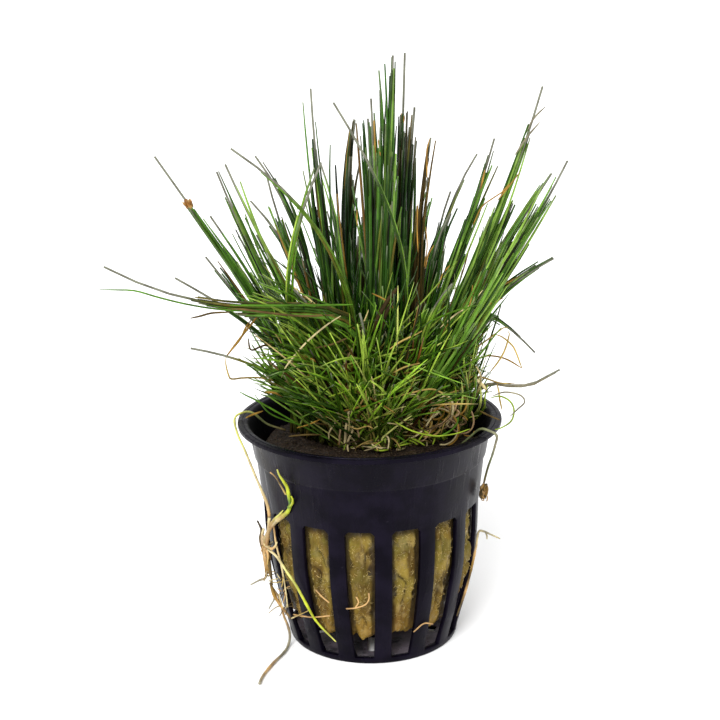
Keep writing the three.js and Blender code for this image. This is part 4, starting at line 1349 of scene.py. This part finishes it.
stems("stray_runner", living, "runner_left", [
    ([0.24, 0.26, 0.26, 0.3, 0.38], [BROWN, DULL_GREEN, LEMON, LEMON, CREAM, CREAM, TAN], [
        (-18.5, 3, 46.1), (-22.5, 3, 47.6), (-25.6, 2, 50.6), (-27.8, 1, 51), (-29.4, 0, 50),
        (-28.8, -2, 47.3), (-27, -5, 44.2), (-25.2, -8, 40.7), (-23.5, -10.8, 37.6), (-22.2, -12.1, 34.6),
        (-21.8, -12.4, 32)]),
])

stems("stray_plantlet_shoot", living, "plantlet_shoot", [
    ([0.4, 0.5, 0.52, 0.42, 0.36, 0.4, 0.3, 0.16],
     [TAN, CREAM, STRAW, BRIGHT, GREEN, BRIGHT, BRIGHT, LEMON], [
         (-21.4, -12.6, 29.8), (-20.2, -14.4, 31.8), (-18.8, -16, 33.4), (-17.6, -17.3, 35),
         (-17, -18.1, 36.8), (-17.2, -18.5, 38.9), (-17.5, -18.7, 40.9), (-18.2, -19, 42.4),
         (-19, -19, 43.8), (-19.4, -18.9, 45)]),
    ([0.5, 0.45, 0.3, 0.1], [TAN, STRAW, LEMON, LEMON], [
        (-21.8, -12.2, 29.6), (-20.8, -13.9, 31.6), (-19.6, -15.4, 33.4), (-18.6, -16.6, 35)]),
    ([0.3, 0.3, 0.14], [GREEN, BRIGHT, BRIGHT], [
        (-17.4, -18, 36.2), (-16.6, -18.9, 37.2), (-16.4, -19.2, 38.4), (-16.7, -19.3, 39.2)]),
    ([0.14, 0.18, 0.2], [TAN, BROWN, STRAW], [
        (-21.1, -15.2, 43), (-20, -16.3, 42.4), (-18.9, -17.6, 41), (-17.8, -18.5, 39.2)]),
])

stems("stray_plantlet_roots", rooty, "plantlet_roots", [
    ([0.4, 0.45, 0.7, 0.8, 0.6, 0.2], [TAN, CREAM, ORANGE, TAN, ORANGE, BROWN], [
        (-21.4, -12.6, 30), (-22.8, -10.7, 26.5), (-23, -9.4, 23.2), (-22.8, -9.5, 20), (-22.4, -9, 17.2),
        (-22, -9, 15.6)]),
    ([0.3, 0.3, 0.34, 0.3, 0.2], [PINK, CREAM, TAN, CREAM], [
        (-23.6, -9.4, 26.4), (-23.2, -10.4, 24.8), (-21.8, -12, 24.4), (-20.8, -13.2, 25.4),
        (-20.4, -13.8, 26.6)]),
    ([0.26, 0.36, 0.3, 0.16], [CREAM, PINK, TAN, STRAW], [
        (-23.4, -9, 27.8), (-23.8, -9, 26), (-23.6, -9.4, 24.2), (-22.6, -10.8, 22.8), (-22.8, -10.4, 20)]),
    ([0.34, 0.4, 0.42, 0.2], [CREAM, TAN, BROWN, BROWN], [
        (-21.8, -12.8, 31.8), (-22.4, -11.6, 27), (-22.9, -10.2, 23), (-22.3, -10.1, 19), (-22, -9.6, 14.8)]),
    ([0.2, 0.34, 0.36, 0.3], [RUSTY, BROWN, ORANGE, TAN], [
        (-24.9, -6.4, 28.6), (-24, -7.8, 27), (-24.3, -8.2, 25), (-23.6, -9, 22), (-23.2, -8.6, 17)]),
    ([0.3, 0.3, 0.2, 0.16], [TAN, GREY, GREY], [
        (-23.2, -8.2, 17), (-23.7, -7.4, 15.4), (-25, -6.6, 14.6), (-27, -6, 13.3)]),
    ([0.26, 0.2, 0.14], [BROWN, GREY, GREY], [
        (-21.4, -9.8, 12.8), (-21.9, -7.8, 10.4), (-22.5, -6.6, 8.9), (-23.2, -6, 7.4)]),
    ([0.3, 0.42, 0.34, 0.24], [BROWN, ORANGE, TAN, BROWN], [
        (-22.4, -9.6, 15.4), (-21.6, -10.2, 12.6), (-20.2, -11.2, 10.6), (-18, -12.8, 8.1)]),
    ([0.2, 0.2, 0.16], [TAN, CREAM, CREAM], [
        (-21, -12.6, 30), (-20.6, -13, 26), (-19.6, -13.6, 21), (-19, -13.6, 16.4), (-18.6, -12.9, 11)]),
    ([0.16, 0.12, 0.1], [CREAM, STRAW, STRAW], [
        (-17.9, -12.9, 8.3), (-16.8, -14.2, 9.4), (-15.1, -16.2, 11.1), (-13.8, -17.6, 12.4)]),
])

stems("stray_plantlet_leaf", living, "plantlet_leaf", [
    ([0.28, 0.28, 0.28, 0.3, 0.3, 0.24, 0.14], [CREAM, CREAM, LEMON, BRIGHT, BRIGHT, LEMON], [
        (-23.2, -9.4, 23.2), (-22.2, -11.2, 23.6), (-20.5, -13.7, 23.2), (-18.5, -15.9, 20.9),
        (-16.6, -17.2, 18.4), (-15.2, -17.8, 15.8), (-13.9, -18.2, 13.2), (-12.7, -18.5, 10.9),
        (-11, -19, 8.8), (-8.2, -19.8, 6)]),
])

stems("stray_trailing_root", rooty, "trailing_root", [
    ([0.24, 0.26, 0.3, 0.3, 0.3, 0.34, 0.26], [BROWN, TAN, GREY, GREY, TAN, GREY], [
        (-21.9, -9.4, 14), (-20.4, -10.6, 11.8), (-19.8, -10.1, 8), (-18.9, -9.3, 4.6), (-18.6, -8.9, 2.2),
        (-18.9, -10.2, 0.7), (-19.8, -13.5, 0.45), (-21.9, -18.3, 0.45), (-23.7, -23.6, 0.45),
        (-24.3, -27.1, 0.45)]),
])

# Fine roots curl off the mat, and a few have come out of the slots beside it.
FINE_ROOT_SPOTS = [
    (-22.8, -10.4, 25), (-22.8, -9.6, 18), (-19.6, -13.4, 18), (-19.4, -12.8, 14.6), (-19.6, -12, 10.6),
]
FINE_ROOTS_PER_SPOT = 7
FINE_ROOT_LENGTHS = (0.8, 2.6)
FINE_ROOT_BEND = 2.6
FINE_ROOT_RADII = (0.14, 0.09)
SLOT_ROOTS = [
    [(-5.8, -21.8, 14.6), (-3.9, -22.8, 15.2), (-1.8, -23.2, 16.1), (-1, -23.5, 17.5), (-1, -23.6, 18.9)],
    [(-3.9, -22.8, 15.2), (-3.2, -23, 16.6), (-3.6, -23, 17.8)],
    [(-12.2, -19.7, 18.1), (-10.9, -20.5, 16.9), (-9.4, -21, 15.7)],
    [(-17.4, -12.9, 9.2), (-15, -15.9, 10.2), (-12.9, -17.9, 10.9), (-9.3, -20.4, 12.4)],
    [(8.4, -18.8, 7.4), (10.6, -18.6, 9.2), (12.6, -17.6, 8.6)],
]
SLOT_ROOT_RADIUS = 0.16
SLOT_ROOT_POINTS = 24
FINE_SIDES = 5
root_dice = np.random.default_rng(9)
strands = Strands()
steps = np.linspace(0, 1, 9)
for spot in FINE_ROOT_SPOTS:
    for _ in range(FINE_ROOTS_PER_SPOT):
        start = np.array(spot) + root_dice.normal(0, 0.5, 3)
        way = unit(root_dice.normal(size=3) * (1, 0.6, 1) - (0.2, 0, 0.3))
        bend = unit(np.cross(way, root_dice.normal(size=3)))
        bend = bend * root_dice.uniform(-FINE_ROOT_BEND, FINE_ROOT_BEND)
        length = root_dice.uniform(*FINE_ROOT_LENGTHS)
        fine = start + np.outer(steps * length, way) + np.outer(steps ** 2, bend)
        colour = (CREAM, TAN, BROWN, STRAW)[root_dice.integers(4)]
        tint = tint_of(*colour) * root_dice.uniform(0.6, 1.1)
        strands.add(fine[None], np.linspace(*FINE_ROOT_RADII, len(steps))[None], tint, FINE_SIDES)
for points in SLOT_ROOTS:
    strands.add(routed(points, SLOT_ROOT_POINTS)[None], SLOT_ROOT_RADIUS, tint_of(*TAN), LOOSE_SIDES)
strands.build("stray_fine_roots", rooty)


# Roots on the right
# A thin runner hangs over the lip there, and ends in a small ball of matted root on the wall. Lower
# down a sprig of root has come out of a slot.
stems("hanging_runner", rooty, "runner_right", [
    ([0.24, 0.28, 0.26, 0.24], [DULL_GREEN, DULL_GREEN, GREY, DULL_GREEN, BROWN], [
        (19, -9.5, 46), (21, -11, 48.4), (23, -13, 50.8), (24.8, -14.8, 51), (26.3, -15, 50),
        (26.1, -14, 47.6), (25.8, -10.8, 44.2), (25.2, -8.6, 41), (24.7, -7.6, 38.4), (24.3, -7.4, 36.4)]),
])

stems("root_sprig_fine", rooty, "root_sprig", [
    ([0.2, 0.24, 0.24, 0.26, 0.22, 0.14], [BROWN, TAN, CREAM, GREY, CREAM], [
        (21.6, -7.8, 16.2), (22.2, -7, 18.8), (22.8, -6.2, 21.4), (23.4, -5.3, 24.4), (24.6, -4.5, 24.2),
        (26.1, -3.8, 23.2), (28.3, -3.6, 22)]),
    ([0.2, 0.26, 0.24, 0.3, 0.22, 0.14], [TAN, ORANGE, BROWN, TAN, BROWN, BROWN], [
        (22.5, -6.6, 20.4), (21.8, -7.6, 17.4), (20.8, -8.8, 14), (19.8, -9.6, 11), (18.8, -10.4, 8.6),
        (18.2, -10.8, 7)]),
    ([0.2, 0.12], [GREY, CREAM], [(25, -4.4, 24), (25.3, -4.6, 23.2), (25.3, -4.7, 22.4)]),
])


# The ball: a lumpy core, wound round with threads.
BALL_SIZE = (1.6, 1.6, 3.6)
BALL_CORE = 0.34
BALL_MIDDLE = (24.3, -8.3, 34.9)
BALL_LUMPS = 0.7
BALL_THREADS = 70
THREAD_ARCS = (0.8, 2.4)
THREAD_REACH = (0.16, BALL_CORE)
THREAD_WIDTHS = (0.08, 0.2)
bpy.ops.object.select_all(action="DESELECT")
bpy.ops.mesh.primitive_ico_sphere_add(subdivisions=4, radius=BALL_CORE)
ball = bpy.context.object
bpy.ops.object.mode_set(mode="EDIT")
bpy.ops.transform.resize(value=Vector(BALL_SIZE) * MM)
bpy.ops.transform.translate(value=Vector(BALL_MIDDLE) * MM)
bpy.ops.object.mode_set(mode="OBJECT")
bpy.ops.object.shade_smooth()
tint = ball.data.color_attributes.new("tint", "FLOAT_COLOR", "POINT")
for vertex in ball.data.vertices:
    spot = vertex.co / MM
    outward = (spot - Vector(BALL_MIDDLE)).normalized()
    lump = lumps(spot, 1.1)
    vertex.co += outward * BALL_LUMPS * lump * MM
    tint.data[vertex.index].color = (*(tint_of(*RUSTY) * (0.9 + 0.5 * lump)), 1)
ball.data.materials.append(rooty.material)
strands = Strands()
for _ in range(BALL_THREADS):
    outward = unit(root_dice.normal(size=3))
    heading = unit(np.cross(outward, root_dice.normal(size=3)))
    arc = np.linspace(-1, 1, 9) * root_dice.uniform(*THREAD_ARCS)
    winding = np.outer(np.cos(arc), outward) + np.outer(np.sin(arc), heading)
    winding *= root_dice.uniform(*THREAD_REACH)
    thread = BALL_MIDDLE + (winding + root_dice.uniform(-BALL_CORE, BALL_CORE, 3)) * BALL_SIZE
    colour = (ORANGE, BROWN, TAN, ORANGE)[root_dice.integers(4)]
    half_width = root_dice.uniform(*THREAD_WIDTHS)
    strands.add(thread[None], half_width, tint_of(*colour) * root_dice.uniform(0.5, 1.1), FINE_SIDES)
threads = strands.build("root_ball_threads", rooty)
bpy.ops.object.select_all(action="DESELECT")
threads.select_set(True)
ball.select_set(True)
bpy.context.view_layer.objects.active = ball
bpy.ops.object.join()
ball.name = "root_ball_matted"
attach(ball, "root")
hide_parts("root_ball")


# Studio
# A wide pale floor under a soft white sky, with large soft lights above. The camera stands in front
# and looks a little down on the plant.
FLOOR_REACH = 12
bpy.ops.object.select_all(action="DESELECT")
bpy.ops.mesh.primitive_circle_add(vertices=64, radius=FLOOR_REACH, fill_type="NGON")
floor = bpy.context.object
floor.name = "studio_floor"
paper = Finish("pale_paper", Roughness=0.9, Specular_IOR_Level=0.1)
mottling = paper.noise(40, 2).ramp(0.3, 0.7)
paper.set("Base Color", paper.mix(mottling, (0.92, 0.92, 0.92, 1), (0.95, 0.95, 0.95, 1)))
floor.data.materials.append(paper.material)

SKY_STRENGTH = 0.95
world = bpy.data.worlds.new("soft_white_sky")
bpy.context.scene.world = world
world.use_nodes = True
sky = world.node_tree.nodes["Background"]
sky.inputs["Color"].default_value = (1, 1, 1, 1)
sky.inputs["Strength"].default_value = SKY_STRENGTH


def soft_light(name, place, spread, strength):
    """A far, wide light that shines from a place towards the plant, its spread in degrees."""
    lamp = bpy.data.lights.new(name, "SUN")
    lamp.angle = math.radians(spread)
    lamp.energy = strength
    light = bpy.data.objects.new(name, lamp)
    light.location = place
    light.rotation_euler = (-Vector(place)).to_track_quat("-Z", "Y").to_euler()
    bpy.context.scene.collection.objects.link(light)


soft_light("key_light", (-0.3, -0.8, 0.8), 30, 3.2)
soft_light("back_light", (0.3, 0.5, 0.8), 60, 0.6)

CAMERA_PLACE = Vector((-1.816, -301.097, 148.757)) * MM
CAMERA_TARGET = Vector((-1.816, 0, 62.704)) * MM
CAMERA_ROLL = math.radians(1.2)
CAMERA_LENS = 72.6
CAMERA_SENSOR = 36
lens = bpy.data.cameras.new("camera")
lens.lens = CAMERA_LENS
lens.sensor_width = CAMERA_SENSOR
camera = bpy.data.objects.new("camera", lens)
bpy.context.scene.collection.objects.link(camera)
aim = (CAMERA_TARGET - CAMERA_PLACE).to_track_quat("-Z", "Y").to_matrix()
right, up, back = aim.col
camera.location = CAMERA_PLACE
tilted_right = right * math.cos(CAMERA_ROLL) - up * math.sin(CAMERA_ROLL)
tilted_up = right * math.sin(CAMERA_ROLL) + up * math.cos(CAMERA_ROLL)
for axis, direction in enumerate((tilted_right, tilted_up, back)):
    aim.col[axis] = direction
camera.rotation_euler = aim.to_euler()
bpy.context.scene.camera = camera
bpy.context.scene.view_settings.view_transform = "Standard"
